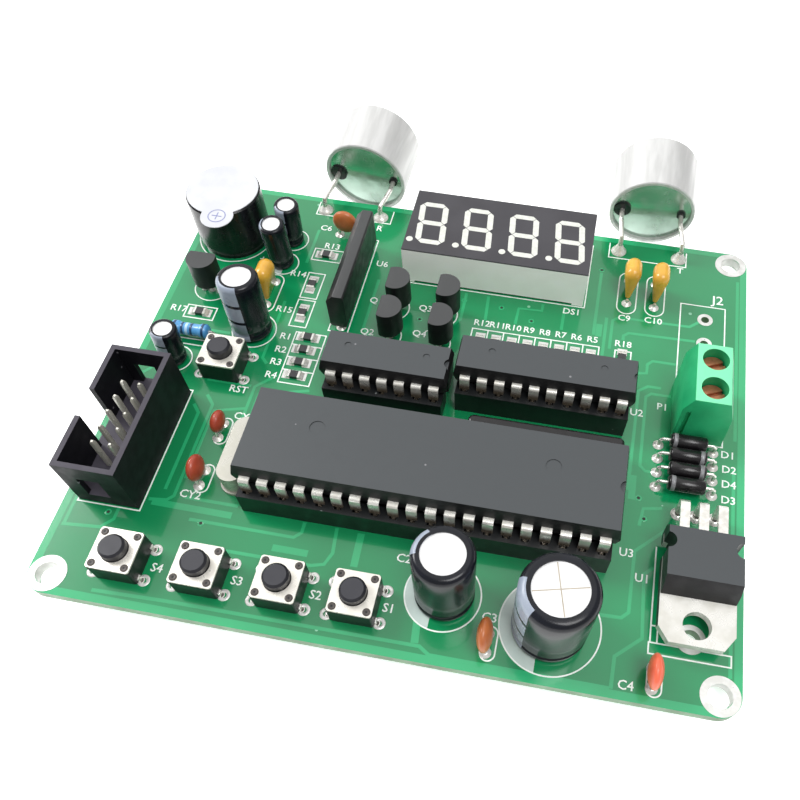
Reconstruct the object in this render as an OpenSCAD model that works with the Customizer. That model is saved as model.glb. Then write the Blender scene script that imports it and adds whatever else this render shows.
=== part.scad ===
// Ultrasonic distance meter: an assembled circuit board with two ultrasonic transducers,
// a four-digit display, three socketed chips, push switches, a boxed header and a screw terminal.
// Places on the board are measured from its left and front edges. The origin is the middle of
// the mounting hole pattern, on the board's underside, with +X right, +Y back and +Z up.

/* [Board] */
// Board width, left to right
board_w = 94.5; // [85:0.5:110]
// Board depth, front to back
board_d = 80; // [72:0.5:92]
// Board thickness
board_t = 1.6; // [1.2:0.2:2.4]
// Radius of the board's corners
board_corner_r = 3; // [2:0.5:5]
// Distance of a mounting hole's centre from each edge
mount_inset = 2.75; // [2.6:0.05:3.2]
// Diameter of a mounting hole
mount_hole_d = 3.2; // [2.6:0.1:3.2]
// Diameter of the tinned land round a mounting hole
mount_land_d = 5.2; // [4.6:0.1:5.2]
// Thickness of a tinned land
land_t = 0.05; // [0.03:0.01:0.08]

/* [Leads and solder] */
// Spacing of pins in a row
pitch = 2.54; // [2.5:0.01:2.56]
// Reach of the lead tails below the board
tail = 2.4; // [1.6:0.1:3]
// Height of a solder cone on the underside
cone_h = 1.1; // [0.6:0.1:1.4]
// Width of the solder land beyond its hole
land_rim = 0.4; // [0.25:0.05:0.45]
// Solder thickness between a lead and its hole
barrel_t = 0.14; // [0.1:0.01:0.18]
// Width of a flat chip or socket leg
leg_w = 0.46; // [0.4:0.02:0.5]
// Thickness of a flat chip or socket leg
leg_t = 0.25; // [0.2:0.01:0.28]
// Diameter of a wire lead
wire_d = 0.5; // [0.4:0.05:0.6]
// Side of a square header pin
post = 0.64; // [0.5:0.02:0.7]

/* [Sockets] */
// Height of a chip socket
socket_h = 4.2; // [3.8:0.1:5]
// Socket wall beyond the middle of a pin row
socket_margin = 1.1; // [1:0.05:1.15]
// Width of a socket well, along the row
well_w = 1; // [0.9:0.05:1.2]
// Width of a socket well, across the row
well_d = 1; // [0.9:0.05:1.2]
// Floor thickness of a socket
socket_floor = 0.8; // [0.6:0.1:1.2]
// Thickness of a contact spring
spring_t = 0.15; // [0.1:0.01:0.16]

/* [Chips] */
// Gap between a socket's top and the chip body
chip_standoff = 0.5; // [0.4:0.05:1]
// Width of a chip lead's shoulder
shoulder_w = 1.45; // [1.3:0.05:1.6]
// Length of a chip leg inside its socket
leg_len = 2.9; // [2:0.1:3]
// Pin count of the microcontroller
mcu_pins = 40; // [40]
// Pin row spacing of the microcontroller
mcu_row = 15.24; // [15:0.02:15.3]
// Body length of the microcontroller
mcu_l = 52; // [51.5:0.1:52.4]
// Body width of the microcontroller
mcu_w = 13.6; // [13:0.1:14]
// Body thickness of the microcontroller
mcu_t = 3.9; // [3.4:0.1:4.2]
// Pin row spacing of the two small chips
chip_row = 7.62; // [7.6:0.01:7.7]
// Body width of the two small chips
chip_w = 6.4; // [6.1:0.1:6.6]
// Body thickness of the two small chips
chip_t = 3.4; // [3.2:0.1:3.8]
// Body overhang of a small chip beyond its last pin
chip_over = 1.75; // [1.5:0.05:1.9]
// Draft of a chip's sides, from parting line to top
draft = 0.35; // [0.2:0.05:0.5]

/* [Display] */
// Display width
display_w = 30.1; // [29.9:0.1:31]
// Display depth
display_d = 13.9; // [13.5:0.1:14.5]
// Display height above the board
display_h = 7; // [6:0.1:8]
// Digit height
digit_h = 9.4; // [8.6:0.1:9.8]
// Digit width
digit_w = 4.8; // [4.2:0.1:5]
// Spacing of the digits
digit_pitch = 7.55; // [7.3:0.05:7.6]
// Lean of the figures from upright, in degrees; below zero they lean to the left
digit_lean = -5.5; // [-12:0.5:12]
// Width of a segment
segment_w = 0.95; // [0.7:0.05:1.1]
// Distance between the display's pin rows
display_row = 10.16; // [10:0.02:10.3]

/* [Transducers] */
// Diameter of a transducer can
can_d = 14.4; // [14:0.1:16.2]
// Length of a transducer can
can_l = 10; // [9:0.1:13]
// Wall thickness of a transducer can
can_wall = 0.6; // [0.4:0.05:0.8]
// Mean height of the cans' rear ends above the board, at their axes
can_z = 3.7; // [3.4:0.05:5]
// Distance of the cans' rear rims behind the board's back edge
can_gap = 2.4; // [1.6:0.1:4]
// Pin spacing of a transducer
can_pins = 10; // [9.5:0.1:10.5]
// Diameter of a transducer's pins
can_pin_d = 0.8; // [0.7:0.05:1]

/* [Buzzer] */
// Buzzer diameter
buzzer_d = 12; // [11:0.1:12.4]
// Buzzer height
buzzer_h = 9.5; // [8.5:0.1:11]
// Buzzer pin spacing
buzzer_pitch = 7.62; // [6.5:0.02:7.7]

/* [Switches] */
// Side of a switch base
switch_w = 6; // [5.6:0.1:6.2]
// Height of a switch base
switch_h = 3.3; // [3:0.1:3.6]
// Thickness of a switch's cover plate
plate_t = 0.3; // [0.2:0.05:0.4]
// Diameter of a button
button_d = 3.5; // [3:0.1:3.6]
// Height of a button's top above the board
button_top = 5; // [4.6:0.1:7]
// Travel of a button
button_travel = 0.25; // [0.2:0.01:0.28]
// Spacing of a switch's legs along one side
leg_span = 4.5; // [4.3:0.1:4.7]
// Running clearance round a button
button_gap = 0.1; // [0.08:0.01:0.15]

/* [Header] */
// Header shell width
shell_w = 8.8; // [8.6:0.1:9.2]
// Header shell length
shell_l = 20.4; // [20:0.1:21]
// Header shell height
shell_h = 9.2; // [8.6:0.1:10]
// Header shell wall
shell_wall = 0.75; // [0.7:0.05:1]
// Header shell floor
shell_floor = 2; // [1.5:0.1:2.4]
// Width of the key slot
key_w = 4.5; // [4:0.1:5]

/* [Terminal] */
// Pole spacing of the screw terminal
pole = 5.08; // [5:0.01:5.1]
// Terminal width across the wire entries
terminal_w = 7.5; // [7.4:0.1:7.8]
// Terminal height
terminal_h = 10; // [9.9:0.1:10.6]
// Diameter of a screw well
well_hole_d = 3.8; // [3.7:0.05:4]
// Diameter of a screw head
head_d = 3.5; // [3.2:0.05:3.55]
// Diameter of a screw's thread
thread_d = 2.5; // [2.3:0.05:2.6]
// Rise of a clamp from open to closed
clamp_rise = 1.8; // [1.5:0.05:1.85]

/* [Regulator] */
// Regulator width
reg_w = 9.8; // [9.6:0.1:10.4]
// Length of the regulator's tab and moulding
reg_l = 15.5; // [15.2:0.1:15.8]
// Length of the regulator's moulding
reg_body_l = 9.2; // [9:0.1:9.4]
// Thickness of the regulator's tab
tab_t = 1.3; // [1.2:0.05:1.4]
// Whole thickness of the regulator
reg_t = 4.5; // [4.3:0.1:4.7]
// Height of the tab's underside above the board
reg_z = 1.8; // [1.2:0.1:3]
// Diameter of the tab's hole
tab_hole_d = 3.7; // [3.5:0.05:3.8]

/* [Hidden] */
$fn = 48;

black = [0.09, 0.09, 0.1];
grey = [0.3, 0.3, 0.31];
tin = [0.8, 0.8, 0.78];
alloy = [0.85, 0.85, 0.84];
fit_gap = 0.02;      // clearance of a lead in its solder, and of a pressed fit
run_gap = 0.03;      // radial clearance of a turning fit
small_rim = 0.15;    // width of a land where leads stand close together
cut = 1;             // how far a cutting shape runs past what it cuts

// --- Places on the board: [from the left edge, from the front edge] ---
// They spread with the board's size. Parts along its right side keep their distance from that side.
spread = [board_w / 94.5, board_d / 80];
function spread_at(p) = [p[0] * spread[0], p[1] * spread[1]];
function spread_all(list) = [for (p = list) concat(spread_at(p), [for (i = [2:1:len(p) - 1]) p[i]])];

mcu_at = spread_at([50.7, 25.3]);
driver_at = spread_at([63.75, 43.9]);
inverter_at = [driver_at[0] - 23.1, 41.1 * spread[1]];
driver_pins = 20;
inverter_pins = 14;
receiver_at = spread_at([30.1, 60.3]);
network_at = [driver_at[0] + 1.35, mcu_at[1] + mcu_row / 2 + socket_margin + 0.95];
crystal_at = [mcu_at[0] - mcu_pins / 4 * pitch - 2.26, mcu_at[1] - 1.1];
display_at = [52.75 * spread[0], board_d - 9.85];
// Transducers: [x, turn about Z, tilt up, height above the mean]
transducer_at = [[26.6 * spread[0], -3.2, 6.5, -0.4], [77 * spread[0], 1.75, 8.5, 0.4]];
transducer_hole_x = [
    for (i = [0, 1]) [for (s = [[-6.2, 3.8], [-4.4, 5.9]][i]) transducer_at[i][0] + s]];
transducer_hole_y = board_d - 3;
buzzer_at = [7, board_d - 12];
header_at = spread_at([6.6, 24.35]);
terminal_at = [board_w - 7.35, 45.05];
regulator_at = [board_w - 6.75, 7.5];            // the middle of the tab's front end
regulator_hole_y = 27.4;
regulator_land_at = [board_w - 6.75, 9.4];
regulator_hole_d = 2.6;
plain_holes_at = [[board_w - 6.65, 64.15], [board_w - 6.65, 64.15 - pole]];
plain_hole_d = 1.3;
button_at = spread_all([[44.3, 6.35], [34.2, 6.35], [23.3, 6.35], [12.2, 6.35], [14.6, 40.5]]);

// Electrolytics: [x, y, diameter, height, lead spacing, lean, direction of the lean]
electrolytics = spread_all([
    [6.2, 40.3, 4, 7, 1.5, 4, 0], [16.7, 63.3, 4, 9, 1.5, 6, 280], [16.8, 68.6, 4, 8, 1.5, 5, 320],
    [16.4, 48.1, 6.3, 11, 2.5, 3.3, 100], [55.4, 9.7, 8, 13, 3.5, 0, 0], [69.6, 7.9, 10, 13, 5, 0, 0]]);
// Transistors: [x, y, direction that the round side faces]
transistors_at = spread_all(
    [[38.2, 56.95, 0], [38.2, 51, 0], [46.2, 56.95, 0], [46.2, 50.95, 0], [7.1, 55.2, 270]]);
transistor_r = 2.3;
transistor_flat = 1.2;
transistor_z = 2.4;
transistor_h = 4.6;
// Ceramic discs: [x, y, diameter, turn about Z, lean]
discs = concat(
    [[crystal_at[0] - 5.24, mcu_at[1] + 3.4, 3.4, 90, 8],
        [crystal_at[0] - 5.14, mcu_at[1] - 4.8, 3.9, 90, -4]],
    spread_all([[62, 4.1, 4.6, 90, -8], [83.2, 3.4, 4.6, 90, -6], [25.7, 71.6, 4.2, 0, 0]]));
disc_t = 2;
disc_z = 0.9;
// Dipped capacitors: [x, y]
dipped = spread_all([[74.9, 67.8], [79.4, 67.7], [16.8, 56.2]]);
dipped_r = 1.35;
dipped_l = 4.4;
dipped_h = 5.4;
dipped_z = 0.9;
dipped_pitch = 5.08;
// Diodes: how far apart, first one's place, length and diameter of the body
diode_at = [board_w - 8.7, 31.25];
diode_step = 2.4;
diode_count = 4;
diode_span = 8;
diode_l = 5.2;
diode_d = 2.2;
diode_z = 0.7;
film_at = spread_at([7.6, 45]);
film_l = 6;
film_d = 2.3;
film_span = 7.6;
film_z = 0.6;
// Chip resistors: [x, y, turned along Y]
chip_resistors_at = concat(
    [for (i = [0:7]) [driver_at[0] - 11.35 + i * pitch, 52.6 * spread[1], 1]],
    [for (i = [0:3]) [25.5 * spread[0], 40.6 * spread[1] + i * pitch, 0]],
    spread_all([[75.1, 53.6, 1], [22.9, 59.3, 1], [23.1, 53, 1], [23.5, 66.3, 0], [6.8, 50.05, 0]]));
chip_r = [2, 1.25, 0.5];
chip_cap = 0.35;

// --- Derived sizes ---
joint_gap = 2 * (barrel_t + fit_gap);
mcu_z = socket_h + chip_standoff;
seat_z = board_t;
corners = [for (x = [mount_inset, board_w - mount_inset], y = [mount_inset, board_d - mount_inset]) [x, y]];
receiver_pins = 8;
network_pins = 9;
network_t = 1.8;
network_h = 3.7;
network_z = 0.7;
receiver_w = 2.8;
receiver_l = 19.4;
receiver_h = 6.6;
receiver_z = 1;
crystal_span = 4.88;
reg_pin = [0.8, 0.5];
terminal_pin = [1, 0.8];
switch_pin = [0.7, 0.3];
reg_lead_z = reg_z + 2.5;
display_pin_count = 6;
can_r = can_d / 2;
pin_in = 0.6;        // how deep a transducer's base sits inside its rim

// Centre of pin i of a row of n pins
function row_x(n, i) = (i - (n - 1) / 2) * pitch;

// A row of n lead holes along X or along Y; size is [width, thickness], or [diameter, 0]
function row_points(at, n, size, raised, along = 0) =
    [for (i = [0:n - 1]) let (s = row_x(n, i))
        [at[0] + (along == 0 ? s : 0), at[1] + (along == 0 ? 0 : s), size[0], size[1], raised]];

function dip_points(at, pins, row) = concat(
    row_points([at[0], at[1] - row / 2], pins / 2, [leg_w, leg_t], 0),
    row_points([at[0], at[1] + row / 2], pins / 2, [leg_w, leg_t], 0));

function pair_points(at, span, angle, d, raised) =
    [for (s = [-0.5, 0.5]) [at[0] + s * span * cos(angle), at[1] + s * span * sin(angle), d, 0, raised]];

function transistor_points(t) = [for (s = [-1, 0, 1])
    [t[0] - s * pitch / 2 * sin(t[2]), t[1] + s * pitch / 2 * cos(t[2]), wire_d, 0, 1, small_rim]];

function switch_points(s) =
    [for (x = [-1, 1], y = [-0.5, 0.5])
        [s[0] + x * (switch_w + switch_pin[1]) / 2, s[1] + y * leg_span, switch_pin[0], switch_pin[1], 0]];

function flat(lists) = [for (l = lists) each l];

// Every lead hole: [x, y, lead width, lead thickness or 0 when round, 1 when solder shows on top],
// then the width of its land where that isn't the usual one
lead_points = concat(
    dip_points(mcu_at, mcu_pins, mcu_row),
    dip_points(driver_at, driver_pins, chip_row),
    dip_points(inverter_at, inverter_pins, chip_row),
    row_points(receiver_at, receiver_pins, [leg_w, leg_t], 1, 1),
    row_points(network_at, network_pins, [leg_w, leg_t], 0),
    pair_points(crystal_at, crystal_span, 90, wire_d, 0),
    row_points([display_at[0], display_at[1] - display_row / 2], display_pin_count, [wire_d, 0], 0),
    row_points([display_at[0], display_at[1] + display_row / 2], display_pin_count, [wire_d, 0], 0),
    [for (i = [0, 1], j = [0, 1]) [transducer_hole_x[i][j], transducer_hole_y, can_pin_d, 0, 1]],
    pair_points(buzzer_at, buzzer_pitch, 90, wire_d, 0),
    flat([for (e = electrolytics, p = pair_points(e, e[4], e[6], wire_d, 0)) [concat(p, small_rim)]]),
    flat([for (t = transistors_at) transistor_points(t)]),
    flat([for (d = discs) pair_points(d, pitch, d[3], wire_d, 1)]),
    flat([for (d = dipped) pair_points(d, dipped_pitch, 90, wire_d, 1)]),
    flat([for (i = [0:diode_count - 1])
        pair_points([diode_at[0], diode_at[1] + i * diode_step], diode_span, 0, wire_d, 1)]),
    pair_points(film_at, film_span, 0, wire_d, 1),
    flat([for (x = [-0.5, 0.5])
        row_points([header_at[0] + x * pitch, header_at[1]], 5, [post, post], 0, 1)]),
    [for (i = [-0.5, 0.5])
        [terminal_at[0], terminal_at[1] + i * pole, terminal_pin[0], terminal_pin[1], 0]],
    [for (i = [-1:1]) [regulator_at[0] + i * pitch, regulator_hole_y, reg_pin[0], reg_pin[1], 1]],
    flat([for (s = button_at) switch_points(s)]));

function bore_of(p) = norm([p[2], p[3]]) + 2 * fit_gap;
function hole_of(p) = bore_of(p) + 2 * barrel_t;

// Points of an arc about c, with radius r, from angle a to angle b
function arc(c, r, a, b, n = 5) =
    [for (i = [0:n]) let (t = a + (b - a) * i / n) [c[0] + r * cos(t), c[1] + r * sin(t)]];

// --- Shared shapes ---

// Puts its children at a place on the board's top face
module at(p, z = 0) translate([p[0] - board_w / 2, p[1] - board_d / 2, seat_z + z]) children();

module block(size, z = 0) translate([-size[0] / 2, -size[1] / 2, z]) cube(size);

module tube(outer, inner, h, z = 0) translate([0, 0, z]) difference() {
    cylinder(d = outer, h = h);
    translate([0, 0, -cut]) cylinder(d = inner, h = h + 2 * cut);
}

module rounded_plate(w, d, t, r) union() {
    block([w - 2 * r, d, t]);
    block([w, d - 2 * r, t]);
    for (x = [-1, 1], y = [-1, 1]) translate([x * (w / 2 - r), y * (d / 2 - r), 0]) cylinder(r = r, h = t);
}

// A long plate with two round ends, along Y
module stadium(w, l, h, z = 0) translate([0, 0, z]) union() {
    block([w, l - w, h]);
    for (y = [-1, 1]) translate([0, y * (l - w) / 2, 0]) cylinder(d = w, h = h);
}

// Points its children's +Z along v
module facing(v) rotate([0, acos(v[2] / norm(v)), atan2(v[1], v[0])]) children();

// A round wire through a list of points, mitred at every bend. Its flat facets meet cleanly there.
module wire(points, d) union() let (n = len(points) - 1, u = [for (i = [0:n - 1])
        (points[i + 1] - points[i]) / norm(points[i + 1] - points[i])])
    for (i = [0:n - 1]) difference() {
        translate(points[i] - (i == 0 ? 0 : d) * u[i]) facing(u[i])
            cylinder(d = d, h = norm(points[i + 1] - points[i]) + (i % (n - 1) == 0 ? d : 2 * d), $fn = 12);
        if (i > 0) translate(points[i]) facing(-u[i] - u[i - 1]) block([4 * d, 4 * d, 3 * d]);
        if (i < n - 1) translate(points[i + 1]) facing(u[i] + u[i + 1]) block([4 * d, 4 * d, 3 * d]);
        if (i == n - 1) translate(points[n]) facing(u[i]) block([4 * d, 4 * d, 3 * d]);
    }

// An outline in Y and Z, pushed out along X
module along_x(w, points) rotate([90, 0, 90]) translate([0, 0, -w / 2]) linear_extrude(w) polygon(points);

// --- Board ---

module circuit_board() color([0.1, 0.5, 0.28]) difference() {
    rounded_plate(board_w, board_d, board_t, board_corner_r);
    for (c = corners) at(c, -board_t - cut) cylinder(d = mount_hole_d, h = board_t + 2 * cut);
    for (c = plain_holes_at) at(c, -board_t - cut) cylinder(d = plain_hole_d, h = board_t + 2 * cut);
    at(regulator_land_at, -board_t - cut) cylinder(d = regulator_hole_d, h = board_t + 2 * cut);
    for (p = lead_points) at(p, -board_t - cut) cylinder(d = hole_of(p), h = board_t + 2 * cut, $fn = 24);
}

module land(outer, inner) {
    tube(outer, inner, land_t);
    tube(outer, inner, land_t, -board_t - land_t);
}

module tinned_lands() color(tin) {
    for (c = corners) at(c) land(mount_land_d, mount_hole_d);
    for (c = plain_holes_at) at(c) land(plain_hole_d + 2 * land_rim + 0.4, plain_hole_d);
    at(regulator_land_at) land(regulator_hole_d + 1.4, regulator_hole_d);
}

module joint(p) let (r = bore_of(p) / 2, h = hole_of(p) / 2, o = h + (p[5] == undef ? land_rim : p[5]))
    rotate_extrude($fn = 24) polygon(concat(
        [[r, -board_t - cone_h], [r + 0.12, -board_t - cone_h], [o, -board_t - land_t], [o, -board_t],
            [h, -board_t], [h, 0]],
        p[4] == 0 ? [[r, 0]] : [[o, 0], [o, land_t], [r + 0.08, 0.4], [r, 0.4]]));

module solder_joints() color(tin) for (p = lead_points) at(p) joint(p);

// A lead's straight end, from its tail up to height z
module tail_to(p, z) at(p, -board_t - tail)
    if (p[3] == 0) cylinder(d = p[2], h = board_t + tail + z, $fn = 16);
    else block([p[2], p[3], board_t + tail + z]);

// --- Sockets ---

// Repeats its children at every pin of a dual row, facing outwards from the front row
module each_pin(pins, row) for (s = [0, 1], i = [0:pins / 2 - 1]) mirror([0, s, 0])
    translate([row_x(pins / 2, i), -row / 2, 0]) children();

module socket(where, pins, row) color(black) at(where) difference() {
    block([pins / 2 * pitch, row + 2 * socket_margin, socket_h]);
    block([pins / 2 * pitch - 5, row - 2 * socket_margin, socket_h], socket_floor);
    each_pin(pins, row) {
        block([well_w, well_d, socket_h], socket_floor);
        translate([0, 0, -cut]) cylinder(d = norm([leg_w, leg_t]) + 2 * fit_gap, h = socket_h, $fn = 16);
    }
    translate([pins / 4 * pitch, 0, -cut]) cylinder(d = row / 4, h = socket_h + 2 * cut);
}

module contacts(where, pins, row) at(where) each_pin(pins, row) union() {
    block([well_w - 0.2, well_d - 0.2, 0.2], socket_floor);
    for (s = [-1, 1]) translate([0, s * (leg_t / 2 + 0.07 + spring_t / 2), 0])
        block([well_w - 0.2, spring_t, socket_h - socket_floor - 0.8], socket_floor);
    block([leg_w, leg_t, board_t + tail + socket_floor + 0.1], -board_t - tail);
}

module socket_contacts() color(tin) {
    contacts(mcu_at, mcu_pins, mcu_row);
    contacts(driver_at, driver_pins, chip_row);
    contacts(inverter_at, inverter_pins, chip_row);
}

module mcu_socket() socket(mcu_at, mcu_pins, mcu_row);
module driver_socket() socket(driver_at, driver_pins, chip_row);
module inverter_socket() socket(inverter_at, inverter_pins, chip_row);

// --- Chips ---

// One side of a moulded body's outline: half width w, thickness t, drafted away from a middle band
function moulded(w, t) = let (b = leg_t / 2 + 0.1)
    [[w - draft, 0], [w, t / 2 - b], [w, t / 2 + b], [w - draft, t],
        [draft - w, t], [-w, t / 2 + b], [-w, t / 2 - b], [draft - w, 0]];

module chip_body(where, l, w, t, notch) color(grey) at(where, mcu_z) difference() {
    intersection() {
        along_x(l + 2 * cut, moulded(w / 2, t));
        rotate([90, 0, 0]) translate([0, 0, -w]) linear_extrude(2 * w) polygon(moulded(l / 2, t));
    }
    translate([l / 2, 0, t - notch[1]]) cylinder(d = notch[0], h = t);
    for (x = [-1, 1]) translate([x * l * 0.31, w * 0.1, t - 0.1]) cylinder(d = w * 0.16, h = t);
}

// A lead leaves the body's side, bends down over a small radius and stands on the socket
module chip_leads(where, pins, row, w, t) color(tin) at(where) each_pin(pins, row)
    let (z = mcu_z + t / 2, y = (row - w) / 2, r = 0.45) union() {
        along_x(shoulder_w, concat(
            [[y, z - leg_t / 2], [y, z + leg_t / 2]],
            arc([r - leg_t / 2, z + leg_t / 2 - r], r, 90, 180),
            [[-leg_t / 2, socket_h], [leg_t / 2, socket_h]],
            arc([r - leg_t / 2, z + leg_t / 2 - r], r - leg_t, 180, 90)));
        block([leg_w, leg_t, leg_len + 0.1], socket_h - leg_len);
    }

module mcu_chip() chip_body(mcu_at, mcu_l, mcu_w, mcu_t, [1.9, 0.4]);
module mcu_chip_leads() chip_leads(mcu_at, mcu_pins, mcu_row, mcu_w, mcu_t);

function chip_l(pins) = (pins / 2 - 1) * pitch + 2 * chip_over;
module driver_chip() chip_body(driver_at, chip_l(driver_pins), chip_w, chip_t, [1.4, 0.4]);
module driver_chip_leads() chip_leads(driver_at, driver_pins, chip_row, chip_w, chip_t);
module inverter_chip() chip_body(inverter_at, chip_l(inverter_pins), chip_w, chip_t, [1.7, 0.5]);
module inverter_chip_leads() chip_leads(inverter_at, inverter_pins, chip_row, chip_w, chip_t);

module receiver_chip() color(grey) at(receiver_at, receiver_z)
    rotate([90, 0, 0]) translate([0, 0, -receiver_l / 2]) linear_extrude(receiver_l)
        let (w = receiver_w / 2, h = receiver_h) polygon([[-w, 0.4], [0.3 - w, 0], [w - 0.3, 0], [w, 0.4],
            [w, h - 0.3], [w - 0.2, h], [1.1 - w, h], [-w, h - 1.2]]);

module resistor_network() color(black) at(network_at, network_z) rotate([0, 0, 90])
    stadium(network_t, network_pins * pitch - 0.3, network_h);

module sip_leads() color(tin) {
    for (p = row_points(receiver_at, receiver_pins, [leg_w, leg_t], 1, 1)) tail_to(p, receiver_z);
    for (p = row_points(network_at, network_pins, [leg_w, leg_t], 0)) tail_to(p, network_z);
}

module crystal_can() color(alloy) at(crystal_at) union() {
    stadium(4.4, 11.3, 0.5);
    stadium(3.9, 10.8, 3.3, 0.5);
}

// --- Display ---

display_foot = 0.4;
face_t = 0.2;

module display_housing() color([0.86, 0.87, 0.84]) at(display_at) difference() {
    union() {
        block([display_w, display_d, display_h - display_foot - face_t], display_foot);
        for (x = [-1, 1], y = [-1, 1]) translate([x * (display_w / 2 - 0.9), y * (display_d / 2 - 0.9), 0])
            block([1.8, 1.8, display_foot]);
    }
    each_display_pin() translate([0, 0, -cut]) cylinder(d = wire_d + 2 * fit_gap, h = 3, $fn = 16);
}

module each_display_pin() for (y = [-0.5, 0.5], i = [0:display_pin_count - 1])
    translate([row_x(display_pin_count, i), y * display_row, 0]) children();

// A six-cornered bar of length l and width w, lying or standing, leaned over like the figures
module segment(c, l, w, standing) let (
        a = [w - l, l - w, l, l - w, w - l, -l] / 2, b = [1, 1, 0, -1, -1, 0] * w / 2)
    polygon([for (i = [0:5]) let (p = c + (standing ? [b[i], a[i]] : [a[i], b[i]]))
        [p[0] + p[1] * tan(digit_lean), p[1]]]);

// One figure of seven segments, with its decimal point at the lower left
module figure() let (w = digit_w - segment_w, h = (digit_h - segment_w) / 2, gap = 0.12) {
    for (y = [-1:1]) segment([0, y * h], w - gap, segment_w, false);
    for (x = [-1, 1], y = [-0.5, 0.5]) segment([x * w / 2, y * h], h - gap, segment_w, true);
    translate([-digit_w / 2 - 0.5, -digit_h / 2 + 0.55]) circle(d = 1.1);
}

module figures() for (i = [-1.5:1.5]) translate([i * digit_pitch, -0.35]) figure();

module display_face() color([0.33, 0.34, 0.35]) at(display_at, display_h - face_t) difference() {
    block([display_w, display_d, face_t]);
    translate([0, 0, -cut]) linear_extrude(2 * cut + face_t) figures();
}

module display_segments() color([0.93, 0.93, 0.9]) at(display_at, display_h - face_t)
    linear_extrude(face_t) figures();

module display_pins() color(tin) at(display_at) each_display_pin()
    translate([0, 0, -board_t - tail]) cylinder(d = wire_d, h = board_t + tail + 2, $fn = 16);

// --- Transducers ---

// Puts its children in a can's own frame: +Z along its axis, zero at the rear rim
module in_can(i) let (t = transducer_at[i])
    at([t[0], board_d + can_gap], can_z + t[3]) rotate([0, 0, t[1]]) rotate([t[2] - 90, 0, 0]) children();

module can(i) color(alloy) in_can(i) rotate_extrude($fn = 96) polygon([
    [can_r - can_wall, 0], [can_r - 0.15, 0], [can_r, 0.15], [can_r, can_l - 0.4],
    [can_r - 0.4, can_l], [can_r - can_wall - 0.8, can_l], [can_r - can_wall - 0.8, can_l - 0.5],
    [can_r - can_wall, can_l - 0.5]]);

module transmitter_can() can(0);
module receiver_can() can(1);

// Base disc with its pin holes, the radiating cone behind the grille and its piezo disc
module transducer_works() for (i = [0, 1]) in_can(i) {
    color(alloy) difference() {
        translate([0, 0, pin_in]) cylinder(r = can_r - can_wall, h = 1.4, $fn = 96);
        for (x = [-1, 1]) translate([x * can_pins / 2, 0, 0])
            cylinder(d = can_pin_d + 2 * fit_gap, h = 3, $fn = 16);
    }
    color("silver") translate([0, 0, pin_in + 1.4]) cylinder(d = 5, h = 1.6);
    color("silver") translate([0, 0, pin_in + 3]) cylinder(d = 8.6, h = 0.5);
    color("gold") translate([0, 0, pin_in + 3.5]) rotate_extrude()
        polygon([[0, 0], [0.8, 0], [4.2, 2.4], [4.2, 2.7], [0.6, 0.3], [0, 0.3]]);
}

module transducer_grilles() color(grey) for (i = [0, 1]) in_can(i)
    translate([0, 0, can_l - 0.5 - 0.4]) difference() {
        cylinder(r = can_r - can_wall, h = 0.4, $fn = 96);
        for (x = [-4:4], y = [-4:4]) if (norm([x, y]) < 4)
            translate([x * 1.35, y * 1.35, -cut]) block([1, 1, 3]);
    }

// Insulating beads round the pins of each can, a wide one and a narrow one
module transducer_beads() color(black) for (i = [0, 1], s = [-1, 1]) in_can(i)
    translate([s * can_pins / 2, 0, 0])
        tube(s < 0 ? 2.9 : 1.5, can_pin_d + 2 * fit_gap, 0.35, pin_in - 0.35);

// A point on a can's axis plane, s to the side and z along the axis, as a place over the board
function can_point(i, s, z) = let (t = transducer_at[i], y = z * cos(t[2]))
    [t[0] + s * cos(t[1]) - y * sin(t[1]), board_d + can_gap + s * sin(t[1]) + y * cos(t[1]),
        can_z + t[3] + z * sin(t[2])];

module transducer_leads() color(tin) for (i = [0, 1], j = [0, 1])
    let (x = transducer_hole_x[i][j], y = transducer_hole_y, z = can_z + transducer_at[i][3])
        translate([-board_w / 2, -board_d / 2, seat_z]) wire([
            can_point(i, (j - 0.5) * can_pins, pin_in + 1.4), can_point(i, (j - 0.5) * can_pins, -1.6),
            [x, y + 0.4, z - 1.2], [x, y, z - 2], [x, y, -board_t - tail]], can_pin_d);

// --- Buzzer ---

buzzer_wall = 0.8;
label_tab_d = 5.2;
coil_d = 5.2;

module buzzer_case() color(black) at(buzzer_at) difference() {
    rotate_extrude($fn = 96) let (r = buzzer_d / 2, h = buzzer_h, w = buzzer_wall) polygon([
        [0, 0], [r - 0.4, 0], [r - 0.4, 1.6], [r, 1.6], [r, h - 0.25], [r - 0.25, h], [1, h], [1, h - w],
        [r - w, h - w], [r - w, w], [0, w]]);
    for (y = [-1, 1]) translate([0, y * buzzer_pitch / 2, -cut])
        cylinder(d = wire_d + 2 * fit_gap, h = 3, $fn = 16);
}

// Round seal with a pull tab that stands out over the front rim
module buzzer_label() color("white") at(buzzer_at, buzzer_h) linear_extrude(0.1) union() {
    circle(d = buzzer_d - 0.4, $fn = 96);
    translate([1.2, -buzzer_d / 2 - 0.1]) circle(d = label_tab_d);
}

// Coil on its core, the diaphragm above it and the ring that carries it
module buzzer_works() at(buzzer_at, buzzer_wall) {
    color("peru") tube(coil_d, 2, 3.4);
    color(alloy) cylinder(d = 2, h = 3.6);
    color(grey) tube(buzzer_d - 2 * buzzer_wall, buzzer_d - 2 * buzzer_wall - 1.6, 4);
    color("silver") translate([0, 0, 4]) cylinder(d = buzzer_d - 2 * buzzer_wall, h = 0.15);
}

module buzzer_pins() color(tin) for (p = pair_points(buzzer_at, buzzer_pitch, 90, wire_d, 0))
    tail_to(p, buzzer_wall - 0.1);

// --- Electrolytic capacitors ---

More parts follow.
